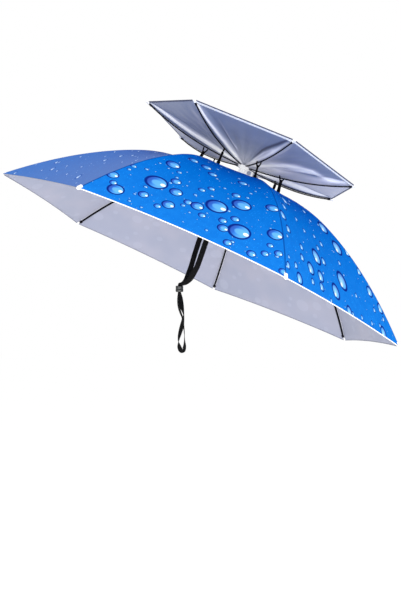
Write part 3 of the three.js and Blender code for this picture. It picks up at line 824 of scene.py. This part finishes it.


# A tape folded over the edge of a canopy: wide on the face that shows, narrow behind. wides gives
# the width on each gore, side is the way in which the canopy's other face lies from its points, and
# dull is the gore whose hem is coloured a dull lavender grey instead of white.
def hemTape(name, pointAt, columns, tipRadius, slope, side, wides, narrow, materials, dull=None):
    thick, reach = 0.0005, tipRadius * math.sqrt(1 + slope ** 2)
    upper = np.array([1, 1, 1, 1, 0.5, 0, 0, 0]) if side < 0 else np.array([0, 0, 0, 0, 0.5, 1, 1, 1])
    lifts = np.array([0.0, thick, thick * 1.2, thick, 0.0, thick, thick, 0.0])
    up = np.where(upper > 0.6, 1, np.where(upper < 0.4, -1, 0))
    level = (upper - 1) * hat["wall"] if side < 0 else upper * hat["wall"]
    rings, widths = [], []
    for g in range(hat["gores"]):
        for u in np.linspace(-1, 1, columns + 1)[:-1]:
            wide = wides[g] + (wides[g - 1] - wides[g]) * 0.5 * max(0, -u * 20 - 19)
            depths = np.array([wide, wide * 0.9, wide * 0.5, 0.0004, 0.0, 0.0004, narrow * 0.85, narrow])
            base = np.array([pointAt(g, np.array(u), np.array(1 - d / reach)) for d in depths])
            near = np.array([pointAt(g, np.array(u + 0.01), np.array(1 - d / reach)) for d in depths])
            out = unit(base[4] - pointAt(g, np.array(u), np.array(0.99)))
            normal = unit(np.cross(near - base, out))
            normal *= np.sign(normal[:, 2:3])
            ring = base + normal * (level + up * lifts)[:, None]
            ring[4] += out * thick
            rings.append(ring)
            widths.append(wide)
    count, size = len(rings), 8
    faces = loftFaces(count, size, closed=True)
    away = np.array([1, 0.9, 0.5, 0, 0, 0, 0, 1])
    places, slots = [], []
    for i in range(count):
        a, b = widths[i], widths[(i + 1) % count]
        for j in range(size):
            x, y = away[j], away[(j + 1) % size]
            places.extend([(x * a, a), (y * a, a), (y * b, b), (x * b, b)])
            slots.append(2 if i // columns == dull else 1 if j in (5, 6) else 0)
    return addMesh(name, fromHat(np.concatenate(rings)), faces, materials, slots, {"tapeMap": places})


mainHem = hemTape("mainHemTape", mainPoint, 40, hat["tipRadius"], 2 * hat["rise"] / hat["tipRadius"], -1,
                  [0.0011] * 6 + [0.0006], 0.0011, [hemWhite, hemDarkStrip, hemDull], 6)
finishPiece(mainHem, "printed_cloth")

# Sewn pockets: a pale strip inside the main canopy under each seam, that the rod is stitched to. Its pale
# colour is partly the pocket's own and partly a painted highlight beside each rod.
pocket = {"halfWidth": 0.0042, "thick": 0.0004, "steps": 60}


def seamPocket(k):
    rings = []
    for v in np.linspace(hat["ventRadius"] / hat["tipRadius"] + 0.004, 0.992, pocket["steps"]):
        u = 1 - pocket["halfWidth"] / (v * hat["tipRadius"] * math.sin(goreAngle / 2))
        before = mainPoint((k - 1) % hat["gores"], np.array(u), np.array(v))
        seam = mainPoint(k, np.array(-1.0), np.array(v))
        after = mainPoint(k, np.array(-u), np.array(v))
        slope = -mainSlope(v * hat["tipRadius"], ribAngle(k))
        down = unit((-slope * math.cos(ribAngle(k)), -slope * math.sin(ribAngle(k)), -1))
        near, far = down * (hat["wall"] * 0.8), down * (hat["wall"] * 1.35 + pocket["thick"])
        rings.append([before + near, seam + near, after + near, after + far, seam + far, before + far])
    return rings


points, faces = joinRings([seamPocket(k) for k in range(hat["gores"])])
pockets = addMesh("seamPockets", fromHat(points), faces, [pocketClothShine])
finishPiece(pockets, "printed_cloth")
print("main hem and seam pockets made")

# Small canopy, turned up. Each gore is flat but for a fold down to the rod on either side.
topCloth = {
    "columns": 92,
    "rowCount": 50,
    "start": 0.0070,
    "lift": 0.0017,      # cloth above the rods' centres
    "foldReach": 0.34,   # how far the fold stands from the rod, as a share of the half width
    "ridge": 0.0007,
    "relief": 0.003,
    # painted fold highlights and shade by gore, highlight above zero and shade below, that also raise a
    # little relief: each row has the length along the gore, the place across it, the half width in
    # millimetres and the amount
    "foldShadeAndRelief": {
        5: [
            [(0.04, 0.80, 1.5, 0.20), (0.20, 0.79, 2.2, 0.42), (0.46, 0.83, 3.2, 0.50),
             (0.66, 0.89, 3.0, 0.56), (0.80, 0.945, 2.6, 0.62), (0.97, 0.985, 2.2, 0.62)],
            [(0.28, 0.40, 1.2, 0), (0.37, 0.47, 1.6, 0.26), (0.45, 0.54, 1.8, 0.30),
             (0.58, 0.60, 2.0, 0.24), (0.78, 0.63, 2.2, 0.08), (0.88, 0.64, 2.2, 0)],
            [(0.30, 0.56, 1.6, 0), (0.42, 0.63, 2.0, -0.12), (0.60, 0.71, 2.6, -0.14),
             (0.80, 0.80, 3, -0.06), (0.95, 0.86, 3, 0)],
            [(0.20, 0.97, 1.2, 0), (0.40, 0.965, 1.6, -0.18), (0.70, 0.98, 1.4, -0.2), (0.85, 0.99, 1, 0)],
            [(0.12, -0.72, 1.0, 0), (0.33, -0.70, 1.4, -0.24), (0.53, -0.72, 1.8, -0.34),
             (0.64, -0.76, 2.0, -0.34), (0.75, -0.82, 2.2, -0.36), (0.86, -0.88, 2.8, -0.36),
             (1, -0.95, 3.0, -0.30)],
            [(0.15, -0.77, 1.0, 0), (0.35, -0.765, 1.2, 0.24), (0.55, -0.795, 1.4, 0.28),
             (0.68, -0.855, 1.3, 0.12), (0.75, -0.90, 1.2, 0)],
            [(0.5, -0.88, 2.5, 0), (0.7, -0.91, 3.6, 0.2), (0.9, -0.955, 3.2, 0.2), (1, -0.975, 2.5, 0.1)],
            [(0.05, -0.84, 1.6, 0.20), (0.30, -0.88, 4.0, 0.42), (0.48, -0.90, 5.0, 0.44),
             (0.68, -0.94, 4.5, 0.30), (0.8, -0.96, 3, 0.1)],
        ],
        6: [
            [(0.04, 0.72, 2, 0.2), (0.28, 0.76, 3.0, 0.56), (0.45, 0.79, 3.4, 0.70),
             (0.67, 0.84, 3.4, 0.84), (0.80, 0.87, 3.2, 0.92), (0.92, 0.92, 2.8, 0.92), (1, 0.965, 1.8, 0.6)],
            [(0.4, 0.52, 1.5, 0), (0.6, 0.62, 2, -0.08), (0.8, 0.73, 2.2, -0.14), (0.97, 0.88, 2, -0.2)],
            [(0.2, 0.93, 2, 0), (0.5, 0.95, 2.6, -0.16), (0.75, 0.965, 2.6, -0.2), (0.95, 0.99, 2, -0.2)],
            [(0.45, -0.1, 6, 0), (0.62, -0.26, 7, 0.08), (0.83, -0.54, 7, 0.10), (0.95, -0.7, 5, 0)],
            [(0.3, -0.75, 3, 0), (0.6, -0.80, 4, -0.08), (0.9, -0.90, 5, -0.14)],
        ],
        4: [
            [(0.05, 0, 3, 0.20), (0.25, 0.05, 9, 0.30), (0.40, 0.06, 13, 0.40), (0.51, -0.04, 14, 0.56),
             (0.64, -0.26, 14, 0.74), (0.72, -0.45, 12, 0.74), (0.76, -0.60, 9, 0.48), (0.79, -0.70, 7, 0)],
            [(0.15, -0.30, 8, 0.10), (0.40, -0.42, 14, 0.20), (0.60, -0.62, 14, 0.22), (0.80, -0.86, 9, 0.20),
             (1, -0.95, 4, 0.1)],
            [(0.46, -0.62, 3, 0), (0.57, -0.66, 4, -0.16), (0.68, -0.72, 4, -0.34),
             (0.75, -0.78, 3.4, -0.30), (0.82, -0.85, 3, 0)],
            [(0.70, -0.72, 3, 0), (0.77, -0.77, 5, 0.40), (0.84, -0.81, 6, 0.54),
             (0.93, -0.86, 5, 0.52), (1, -0.90, 4, 0.3)],
            [(0.1, 0.80, 3, 0.06), (0.45, 0.80, 14, 0.18), (0.65, 0.84, 14, 0.14), (0.9, 0.95, 6, 0)],
            [(0.25, 0.975, 1.0, 0.2), (0.60, 0.985, 1.0, 0.40), (0.95, 0.99, 1.0, 0.36)],
            [(0.20, -0.55, 4, 0), (0.36, -0.60, 6, 0.20), (0.52, -0.70, 5, 0)],
            [(0.30, -0.92, 3, 0), (0.50, -0.94, 4, 0.14), (0.80, -0.97, 3, 0.08)],
        ],
        3: [
            [(0.42, -0.30, 1.4, 0), (0.51, -0.42, 1.6, -0.24), (0.64, -0.62, 1.8, -0.30),
             (0.78, -0.76, 1.8, -0.40), (0.95, -0.85, 2.0, -0.46)],
            [(0.1, -0.60, 3, 0.10), (0.46, -0.73, 6, 0.28), (0.66, -0.80, 6, 0.34),
             (0.84, -0.88, 5, 0.32), (0.96, -0.925, 3, 0.2)],
            [(0.2, -0.99, 1.6, -0.4), (0.4, -0.985, 3.0, -0.70), (0.6, -0.98, 4.2, -0.75),
             (1, -0.98, 4.4, -0.75)],
        ],
        0: [
            [(0.2, 0.1, 20, 0.08), (1, 0.2, 30, 0.12)],
            [(0.2, -0.6, 3, 0), (0.5, -0.72, 4, -0.16), (1, -0.95, 4, -0.2)],
        ],
    },
    "hemWidths": [0.004, 0.004, 0.004, 0.004, 0.0125, 0.0145, 0.004],  # by gore
    "paintedLight": [0.56, 0.48, 0.48, 0.70, 0.465, 0.45, 0.49],  # by gore, the level of painted light, from dark blue grey to white
}


def topRod(radius):
    return hat["topRodFoot"] + hat["topRise"] * (radius / hat["topTipRadius"]) ** hat["topBend"]


# Painted highlight and shade of the folds, which also stand out a little from the cloth
def topFoldShadeAndRelief(g, across, along):
    spread = hat["topTipRadius"] * np.array([math.sin(goreAngle / 2), math.cos(goreAngle / 2)])
    across, along = np.broadcast_arrays(across, along)
    place = np.stack([across * along, along], -1)[..., None, :] * spread
    total = 0 * along
    for rows in topCloth["foldShadeAndRelief"].get(g, []):
        at, middle, half, amount = np.array(rows, float).T
        corner = np.stack([middle * at, at], -1) * spread
        a, step = corner[:-1], np.diff(corner, axis=0)
        t = np.clip(((place - a) * step).sum(-1) / (step ** 2).sum(-1), 0, 1)
        away = np.linalg.norm(place - a - t[..., None] * step, axis=-1)
        nearest = away.argmin(-1)[..., None]
        t = np.take_along_axis(t, nearest, -1)[..., 0] + nearest[..., 0]
        count = np.arange(len(at))
        width = np.interp(t, count, half) / 1000
        total = total + np.interp(t, count, amount) * np.exp(-(away.min(-1) / width) ** 2)
    return total


def topPoint(g, across, along):
    along = np.clip(along, 0, 1)
    radius = along * hat["topTipRadius"]
    flat = hat["topRodFoot"] + hat["topRise"] * along
    fold = 1 - topCloth["foldReach"] * (1 - along ** 4)
    t = np.clip((np.abs(across) - fold) / (1 - fold + 1e-4), 0, 1)
    fall = t * (1 + 0.35 * (1 - t))
    ridge = topCloth["ridge"] * np.sin(across * 17 + g) + topCloth["relief"] * topFoldShadeAndRelief(g, across, along)
    ridge = ridge * np.sin(math.pi * along) * (1 - np.abs(across) ** 8)
    height = flat - (flat - topRod(radius)) * fall + topCloth["lift"] - ridge
    a0, a1 = ribAngle(g) + hat["topTwist"], ribAngle(g + 1) + hat["topTwist"]
    return np.stack([*betweenRods(a0, a1, (across + 1) / 2, radius), height + 0 * radius], -1)


# Painted light of the small canopy's silver underside: a level by gore, lighter towards the hub, and the
# painted fold highlights and shade
def topPaintedLight(g, across, along):
    return topCloth["paintedLight"][g] + 0.12 * (1 - smoothStep(0.05, 0.5, along)) + topFoldShadeAndRelief(g, across, along)


def topArc(radius):
    return radius * math.sqrt(1 + (hat["topRise"] / hat["topTipRadius"]) ** 2)


def topStyle(g):
    return dict(otherPrint, count=16, radii=(4, 14)), 20.0 + g


rows = np.linspace(topCloth["start"] / hat["topTipRadius"], 1, topCloth["rowCount"] + 1)
topCanopy = canopyCloth("topCanopyCloth", topPoint, topCloth["columns"], rows, hat["topTipRadius"], topArc, 1,
                        [printedTop, silverUnder], topStyle, topPaintedLight)
finishPiece(topCanopy, "silver_cloth", "top_canopy")
topHem = hemTape("topHemTape", topPoint, 40, hat["topTipRadius"], hat["topRise"] / hat["topTipRadius"], 1,
                 topCloth["hemWidths"], 0.0020, [hemLined, hemDarkStrip])
finishPiece(topHem, "silver_cloth")
print("top canopy made")

# Rods, and the white caps at their tips
mainRods = {"radius": 0.0024, "inner": 0.0203, "outer": 0.4677, "gap": 0.0004, "sagTurn": 0.12}
topRods = {"radius": 0.0014, "inner": 0.0133, "outer": 0.2492}
rodSteps = 48
rodSleeve = {"spots": (0.0075, 0.007, 0.001, 0.0005), "grow": 1.45}  # back from the rod's end
tipCaps = {
    "mainLength": 0.0125, "mainRadius": 0.0038, "mainLift": 0.0045,
    "topLength": 0.011, "topRadius": 0.0036, "topLift": 0.0012, "clearance": 0.0003,
    # share of the radius, share of the half length
    "profile": [(0.30, -1.0), (0.80, -1.0), (0.92, -0.95), (1.0, -0.82), (1.0, -0.48), (0.90, -0.40),
                (0.90, -0.28), (1.0, -0.20), (1.0, 0.28), (0.95, 0.50), (0.80, 0.74), (0.52, 0.93),
                (0.16, 1.0)],
}
seamSpread = 1 / math.cos(goreAngle / 2 + mainRods["sagTurn"])


def mainRodPoint(radius, angle):
    slope = mainSlope(radius, angle)
    drop = (hat["wall"] + mainRods["radius"] + mainRods["gap"]) * seamSpread / math.sqrt(1 + slope ** 2)
    return radius + slope * drop, mainSeam(radius, angle) - drop


def topRodPoint(radius, angle):
    return radius, topRod(radius)


def makeRod(prefix, k, angle, curve, rod, lift):
    length, capRadius = tipCaps[prefix + "Length"], tipCaps[prefix + "Radius"]
    spots = [onRay(angle, *curve(r, angle)) for r in np.linspace(rod["inner"], rod["outer"], rodSteps)]
    end, before = np.array(curve(rod["outer"], angle)), np.array(curve(rod["outer"] - 0.001, angle))
    way = unit(end - before)
    sleeve = [onRay(angle, *(end - way * d)) for d in rodSleeve["spots"]]
    points, faces = joinRings([rodRings(spots, rod["radius"]),
                               rodRings(sleeve, rod["radius"] * rodSleeve["grow"])])
    made = addMesh(f"{prefix}Rod{k + 1}", fromHat(points), faces, [rodBlack])
    finishPiece(made, "black_rod", f"{prefix}_rib_{k + 1}")
    centre = end + way * (length / 2 + tipCaps["clearance"]) + np.array([-way[1], way[0]]) * lift
    profile = [(r * capRadius, h * length / 2) for r, h in tipCaps["profile"]]
    side = (-math.sin(angle), math.cos(angle), 0)
    points, faces = joinRings([turnedRings(profile, 20, onRay(angle, *centre), onRay(angle, *way), side)])
    cap = addMesh(f"{prefix}Cap{k + 1}", fromHat(points), faces, [capWhite])
    finishPiece(cap, "white_plastic", f"{prefix}_tip_{k + 1}")


for k in range(hat["gores"]):
    makeRod("main", k, ribAngle(k), mainRodPoint, mainRods, tipCaps["mainLift"])
    makeRod("top", k, ribAngle(k) + hat["topTwist"], topRodPoint, topRods, tipCaps["topLift"])
print("rods and caps made")

# Elastic ties from the main canopy up to the small rods, forked at the top
ties = {
    "radius": 0.096,
    "splay": 2.2,
    # height above the foot, half width and half depth, all in millimetres
    "stem": [(0, 3.4, 3.4), (0.6, 4.2, 4.2), (3.2, 4.2, 4.2), (4.6, 3.2, 4.1), (5.8, 2.4, 3.9), (9, 2.0, 3.7),
             (18, 1.9, 3.6), (23, 2.1, 3.7), (26, 2.3, 3.9), (27.6, 1.4, 3.0)],
    # across, height and along the rod
    "prong": [(1.0, 24.0, 1.6), (1.8, 27, 2.7), (2.6, 30, 3.8), (3.0, 33, 4.7), (2.7, 36.2, 5.2)],
    "prongRadius": 1.5,
    "knotRadius": 1.9,
    "knotAt": (1.6, 2.2, -1.2),
    "footInset": 0.0015,
    "footLift": 0.0003,
}


def makeTie(k):
    angle = ribAngle(k)
    foot = mainSeam(ties["radius"] - ties["footInset"], angle) + ties["footLift"]
    height = (topRod(ties["radius"]) - foot) * 1000
    lean = ties["radius"] * math.sin(hat["topTwist"]) * 1000 / height
    origin = np.array(onRay(angle, ties["radius"], foot))
    out, side = np.array(onRay(angle)), np.array((-math.sin(angle), math.cos(angle), 0))
    rise = np.array((0, 0, 1))

    def spot(x, y, z):
        z = z + ties["splay"] * (1 - 2 * y / height)
        return origin + ((x + lean * y) * side + y * rise + z * out) / 1000

    turn = np.arange(14) * 2 * math.pi / 14
    stem = [[spot(w * math.cos(a), y, -d * math.sin(a)) for a in turn] for y, w, d in ties["stem"]]
    groups = [stem]
    for sign in (-1, 1):
        path = smoothRows([(sign * x, y, sign * z) for x, y, z in ties["prong"]], 4)
        groups.append(rodRings([spot(x, y, z) for x, y, z in path], ties["prongRadius"] / 1000, 10))
    knot = ties["knotRadius"]
    profile = [(knot * math.sin(a) / 1000, -knot * math.cos(a) / 1000) for a in np.linspace(0.25, 2.9, 7)]
    groups.append(turnedRings(profile, 12, spot(*ties["knotAt"]), side, out))
    points, faces = joinRings(groups)
    slots = lastBodySlots(faces, len(profile), 12)
    made = addMesh(f"tie{k + 1}", fromHat(points), faces, [tieBlack, knotGlintBrown], slots)
    finishPiece(made, "black_elastic", f"tie_{k + 1}")


for k in range(hat["gores"]):
    makeTie(k)
print("ties made")

# Hub and cap nut, turned on the hat's own axis: radius and height above the main tips, in millimetres
hub = {
    "profile": [(1, 201.2), (9.4, 201.2), (10.6, 201.7), (11, 202.7), (11, 204.9), (11.4, 205.2), (18, 205.2),
                (19.4, 205.8), (20, 207.2), (20, 208.6), (19.3, 209), (19.3, 211.4), (20, 211.8), (20, 213.4),
                (19.4, 214.7), (18, 215.2), (9.8, 215.3), (8.2, 215.9), (7.6, 217.2), (7.6, 237), (8.0, 238),
                (9, 238.5), (12.4, 239), (13, 239.7), (13, 242.8), (12.5, 243.4), (6.4, 243.4), (6, 243.8),
                (6, 244.8), (1, 244.8)],
    # a block beside the neck, its rows as height and share of its size, and a grey eye in its near face
    "blockAngle": -12, "blockFrom": 5.0, "blockTo": 26.0, "blockHalf": 7.5,
    "blockRows": [(224.0, 0.86), (225.0, 1.0), (237.2, 1.0), (238.2, 0.86)],
    "eyeAt": (17.5, -7.2, 231.4),
    "eye": [(0.2, -0.6), (4.6, -0.6), (4.9, 0.4), (4.9, 1.2), (4.2, 1.5), (3.2, 1.2), (2.8, 0.5),
            (2.0, 0.5), (1.6, 1.1), (0.2, 1.3)],
    "nut": [(1, 245.4), (13.2, 247.3), (14, 247.9), (14, 249.6), (13.5, 250.9), (12.2, 251.8), (10.2, 252.2),
            (8.6, 252.3), (8.2, 251.9), (7.6, 251.9), (7.2, 252.3), (1, 252.3)],
}


def makeHub():
    upright = (0, 0, 1)
    groups = [turnedRings(np.array(hub["profile"]) / 1000, 56, (0, 0, 0), upright, (1, 0, 0))]
    out = np.array(onRay(math.radians(hub["blockAngle"])))
    side = np.array((-out[1], out[0], 0))
    middle, half = (hub["blockFrom"] + hub["blockTo"]) / 2, (hub["blockTo"] - hub["blockFrom"]) / 2
    rings = []
    for height, share in hub["blockRows"]:
        ring = []
        for a in np.arange(32) * 2 * math.pi / 32:
            x, y = math.cos(a), math.sin(a)
            reach = share / (abs(x) ** 5 + abs(y) ** 5) ** 0.2
            ring.append((out * (middle + x * reach * half) + side * y * reach * hub["blockHalf"]
                         + np.array((0, 0, height))) / 1000)
        rings.append(ring)
    groups.append(rings)
    x, y, z = hub["eyeAt"]
    eye = np.array(hub["eye"]) / 1000
    groups.append(turnedRings(eye, 20, (out * x + side * y + np.array((0, 0, z))) / 1000, -side, out))
    points, faces = joinRings(groups)
    slots = lastBodySlots(faces, len(eye), 20)
    made = addMesh("hubBody", fromHat(points), faces, [hubWhite, eyeGrey], slots)
    finishPiece(made, "white_plastic", "hub")
    points, faces = joinRings([turnedRings(np.array(hub["nut"]) / 1000, 56, (0, 0, 0), upright, (1, 0, 0))])
    made = addMesh("capNut", fromHat(points), faces, [capWhite])
    finishPiece(made, "white_plastic", "crown_cap")


makeHub()
print("hub made")

# Elastic headband, an oval on the hat's axis, and the stays that hang it from the hub
band = {
    "halfLength": 0.095, "halfWidth": 0.078, "height": 0.028, "thickness": 0.0025, "segments": 120,
    "cords": 9, "cordDepth": 0.00022,
    "round": 0.545,  # length round the outside
    "stayAngles": (45, 135, 225, 315), "stayWidth": 0.012, "stayThick": 0.0015,
    "stayStart": (0.0113, 0.2032), "stayLap": 0.010, "stayGap": 0.0006,
    # share of the way out, share of the way down
    "stayRows": [(0, 0), (0.25, 0.03), (0.5, 0.13), (0.72, 0.31), (0.89, 0.54), (1, 0.8), (1, 1)],
}


def bandSpot(angle, offset, height):
    return np.array(((band["halfLength"] + offset) * math.cos(angle),
                     (band["halfWidth"] + offset) * math.sin(angle), height + hat["seat"]))


# The corners of a flat tape's section as across and through shares, a little rounded
tapeSection = [(-0.5, 0.2), (-0.47, 0.5), (-0.25, 0.5), (0, 0.5), (0.25, 0.5), (0.47, 0.5), (0.5, 0.2),
               (0.5, -0.2), (0.47, -0.5), (0.25, -0.5), (0, -0.5), (-0.25, -0.5), (-0.47, -0.5), (-0.5, -0.2)]


def tapeMesh(name, places, acrossWays, widths, thicks, material, toModel):
    places = np.asarray(places)
    along = unit(np.gradient(places, axis=0))
    lengths = np.concatenate([[0], np.cumsum(np.linalg.norm(np.diff(places, axis=0), axis=1))])
    rings = []
    for place, way, across, width, thick in zip(places, along, acrossWays, widths, thicks):
        across = unit(across - way * np.dot(across, way))
        face = np.cross(way, across)
        rings.append([place + across * a * width + face * t * thick for a, t in tapeSection])
    points, faces = joinRings([rings])
    places = []
    for i in range(len(rings) - 1):
        for j in range(len(tapeSection)):
            a, b = tapeSection[j][0], tapeSection[(j + 1) % len(tapeSection)][0]
            places.extend([(a * widths[i], lengths[i]), (b * widths[i], lengths[i]),
                           (b * widths[i + 1], lengths[i + 1]), (a * widths[i + 1], lengths[i + 1])])
    places.extend([(0, 0)] * 2 * len(tapeSection))
    return addMesh(name, toModel(points), faces, [material], None, {"tapeMap": places})


def makeBand():
    half = band["height"] / 2
    steps = np.linspace(-1, 1, band["cords"] * 4 + 1)
    cords = band["cordDepth"] * (0.5 - 0.5 * np.cos(steps * math.pi * band["cords"]))
    size = 2 * len(steps)
    rings, places = [], []
    for i in range(band["segments"]):
        angle = 2 * math.pi * i / band["segments"]
        outer = [bandSpot(angle, band["thickness"] - c, -s * half) for s, c in zip(steps, cords)]
        inner = [bandSpot(angle, c, s * half) for s, c in zip(steps, cords)]
        rings.append(outer + inner)
    faces = loftFaces(band["segments"], size, closed=True)
    around = np.concatenate([-steps * half, steps * half])
    step = band["round"] / band["segments"]
    for i in range(band["segments"]):
        for j in range(size):
            a, b = around[j], around[(j + 1) % size]
            places.extend([(a, i * step), (b, i * step), (b, (i + 1) * step), (a, (i + 1) * step)])
    made = addMesh("elasticBand", fromHat(np.concatenate(rings)), faces, [elasticBlack], None,
                   {"tapeMap": places})
    finishPiece(made, "black_elastic", "headband")


def makeStay(k, degrees):
    angle = math.radians(degrees)
    outside = band["thickness"] + band["stayGap"] + band["stayThick"] / 2
    seat = bandSpot(angle, outside, band["height"] / 2 - band["stayLap"])
    reach, way = math.hypot(seat[0], seat[1]), math.atan2(seat[1], seat[0])
    radius, top = band["stayStart"]
    rows = smoothRows(band["stayRows"], 8)
    places = [onRay(way, radius + (reach - radius) * out, top + (seat[2] - top) * down) for out, down in rows]
    across = np.array((-math.sin(way), math.cos(way), 0))
    face = np.array((math.cos(angle) / band["halfLength"], math.sin(angle) / band["halfWidth"], 0))
    onBand = unit(np.cross((0, 0, 1), face))
    ways = [across * (1 - t) + onBand * t for t in np.linspace(0, 1, len(rows))]
    widths, thicks = [band["stayWidth"]] * len(rows), [band["stayThick"]] * len(rows)
    made = tapeMesh(f"bandStay{k + 1}", places, ways, widths, thicks, strapBlack, fromHat)
    finishPiece(made, "black_elastic", f"band_stay_{k + 1}")


makeBand()
for k, degrees in enumerate(band["stayAngles"]):
    makeStay(k, degrees)
print("headband made")

# Chin strap: one tape from the band down to the slider, doubled into a tail, and back up
strap = {
    "width": 12.0, "thick": 1.2, "angle": 105, "lap": 4, "gap": 0.6,
    "forward": 103, "sliderTop": 174, "sliderHeight": 14, "tail": 130, "clearance": 0.3,
    "pairDepth": 0.14, "pairPinch": 0.45, "holeShare": 0.4, "turnRows": 3,
    # down, fore, out: shares of the way to the slider; then the share of the tape's width
    "side": [(0, 0, 1, 1), (0.18, 0.135, 1, 1), (0.35, 0.265, 0.99, 1), (0.51, 0.39, 0.965, 1),
             (0.65, 0.495, 0.92, 1), (0.79, 0.6, 0.83, 1), (0.86, 0.67, 0.73, 1), (0.925, 0.74, 0.59, 0.97),
             (0.96, 0.8, 0.46, 0.9), (0.985, 0.87, 0.32, 0.8), (0.995, 0.94, 0.17, 0.64),
             (1, 1, 0.038, 0.48)],
    # drop: share of the tail; shift and depth: shares of the tape's width; turn in degrees; width
    "tailRows": [(0, 0.05, -0.14, 90, 0.45), (0.1, 0.13, -0.3, 80, 0.9), (0.25, 0.4, -0.54, 52, 1),
                 (0.38, 0.72, -0.54, 14, 1), (0.47, 0.6, -0.54, 32, 1), (0.57, 0.4, -0.54, 52, 1),
                 (0.67, 0.12, -0.54, 50, 1), (0.77, -0.15, -0.54, 30, 1), (0.84, -0.22, -0.54, 8, 1),
                 (0.92, -0.1, -0.52, -36, 1), (0.975, 0.12, -0.36, -50, 1), (1, 0.46, 0, -52, 1),
                 (0.985, 0.84, 0.36, -50, 1), (0.92, 1.02, 0.54, -36, 1), (0.83, 1, 0.54, -14, 1),
                 (0.71, 0.97, 0.54, -4, 1), (0.57, 0.82, 0.54, 4, 1), (0.44, 0.62, 0.54, 8, 1),
                 (0.36, 0.3, 0.54, 12, 1), (0.26, 0, 0.5, 20, 1), (0.1, 0.02, 0.3, 70, 0.8),
                 (0, -0.05, 0.14, 90, 0.45)],
    "steps": 7,
}


def makeStrap():
    width, forward = strap["width"], strap["forward"]
    attach = math.radians(strap["angle"])
    offset = band["thickness"] + (strap["gap"] + strap["thick"] / 2) / 1000
    start = fromHat(bandSpot(attach, offset, strap["lap"] / 1000)) * 1000
    end = -strap["sliderTop"] + width / 4
    bandTurn = math.degrees(math.atan2(-math.cos(attach) * band["halfWidth"],
                                       math.sin(attach) * band["halfLength"]))

    def sideRows(sign):
        return [(start[0] + (-forward - start[0]) * fore, sign * start[1] * out,
                 start[2] + (end - start[2]) * down,
                 90 + bandTurn * max(0, 1 - i / strap["turnRows"]), pinch)
                for i, (down, fore, out, pinch) in enumerate(strap["side"])]

    def holeRow(sign):
        return (-forward, sign * strap["pairDepth"] * width,
                -strap["sliderTop"] - strap["sliderHeight"] * strap["holeShare"], 90, strap["pairPinch"])

    foot = -strap["sliderTop"] - strap["sliderHeight"] - strap["clearance"]
    tail = [(-forward + shift * width, depth * width, foot - drop * strap["tail"], turn, pinch)
            for drop, shift, depth, turn, pinch in strap["tailRows"]]
    rows = sideRows(-1) + [holeRow(-1)] + tail + [holeRow(1)] + sideRows(1)[::-1]
    rows = smoothRows(rows, strap["steps"])
    places, turns, pinches = rows[:, :3] / 1000, np.radians(rows[:, 3]), rows[:, 4]
    along = unit(np.gradient(places, axis=0))
    depthWay = unit(np.array((0, 1, 0)) - along * along[:, 1:2])
    sideWay = np.cross(along, depthWay)
    across = depthWay * np.cos(turns)[:, None] + sideWay * np.sin(turns)[:, None]
    widths = width * pinches / 1000
    thicks = strap["thick"] * (2 - pinches) / 1000
    made = tapeMesh("chinStrap", places, across, widths, thicks, strapBlack, lambda points: points)
    finishPiece(made, "black_elastic", "chin_strap")


makeStrap()
print("chin strap made")

# Slider under the chin: a rounded block with one hole for both runs of tape, in millimetres
slider = {
    "half": (8.5, 6.5), "hole": (3.5, 3.9), "top": 174, "forward": 103,
    # share of the way from the hole to the outside, depth below the top
    "profile": [(0, 1.2), (0.05, 0.4), (0.2, 0.05), (0.6, 0.0), (0.86, 0.35), (0.97, 1.4), (1, 2.6), (1, 3.6),
                (0.94, 4.0), (0.94, 4.8), (1, 5.2), (1, 6.2), (0.94, 6.6), (0.94, 7.4), (1, 7.8), (1, 11.2),
                (0.96, 12.8), (0.84, 13.7), (0.6, 14.0), (0.2, 13.95), (0.05, 13.6), (0, 12.8)],
    "segments": 48,
}


def roundedReach(angle, half, power):
    x, y = math.cos(angle) / half[0], math.sin(angle) / half[1]
    return 1 / (abs(x) ** power + abs(y) ** power) ** (1 / power)


def makeSlider():
    rings = []
    for i in range(slider["segments"]):
        angle = 2 * math.pi * i / slider["segments"]
        hole = roundedReach(angle, slider["hole"], 8)
        outer = roundedReach(angle, slider["half"], 3.2)
        way = np.array(onRay(angle))
        rings.append([((hole + (outer - hole) * share) * way
                       + (-slider["forward"], 0, -slider["top"] - depth)) / 1000
                      for share, depth in slider["profile"]])
    faces = loftFaces(len(rings), len(slider["profile"]), closed=True)
    made = addMesh("strapSlider", np.concatenate(rings), faces, [sliderBlack])
    finishPiece(made, "black_plastic", "strap_slider")


makeSlider()
print("slider made")
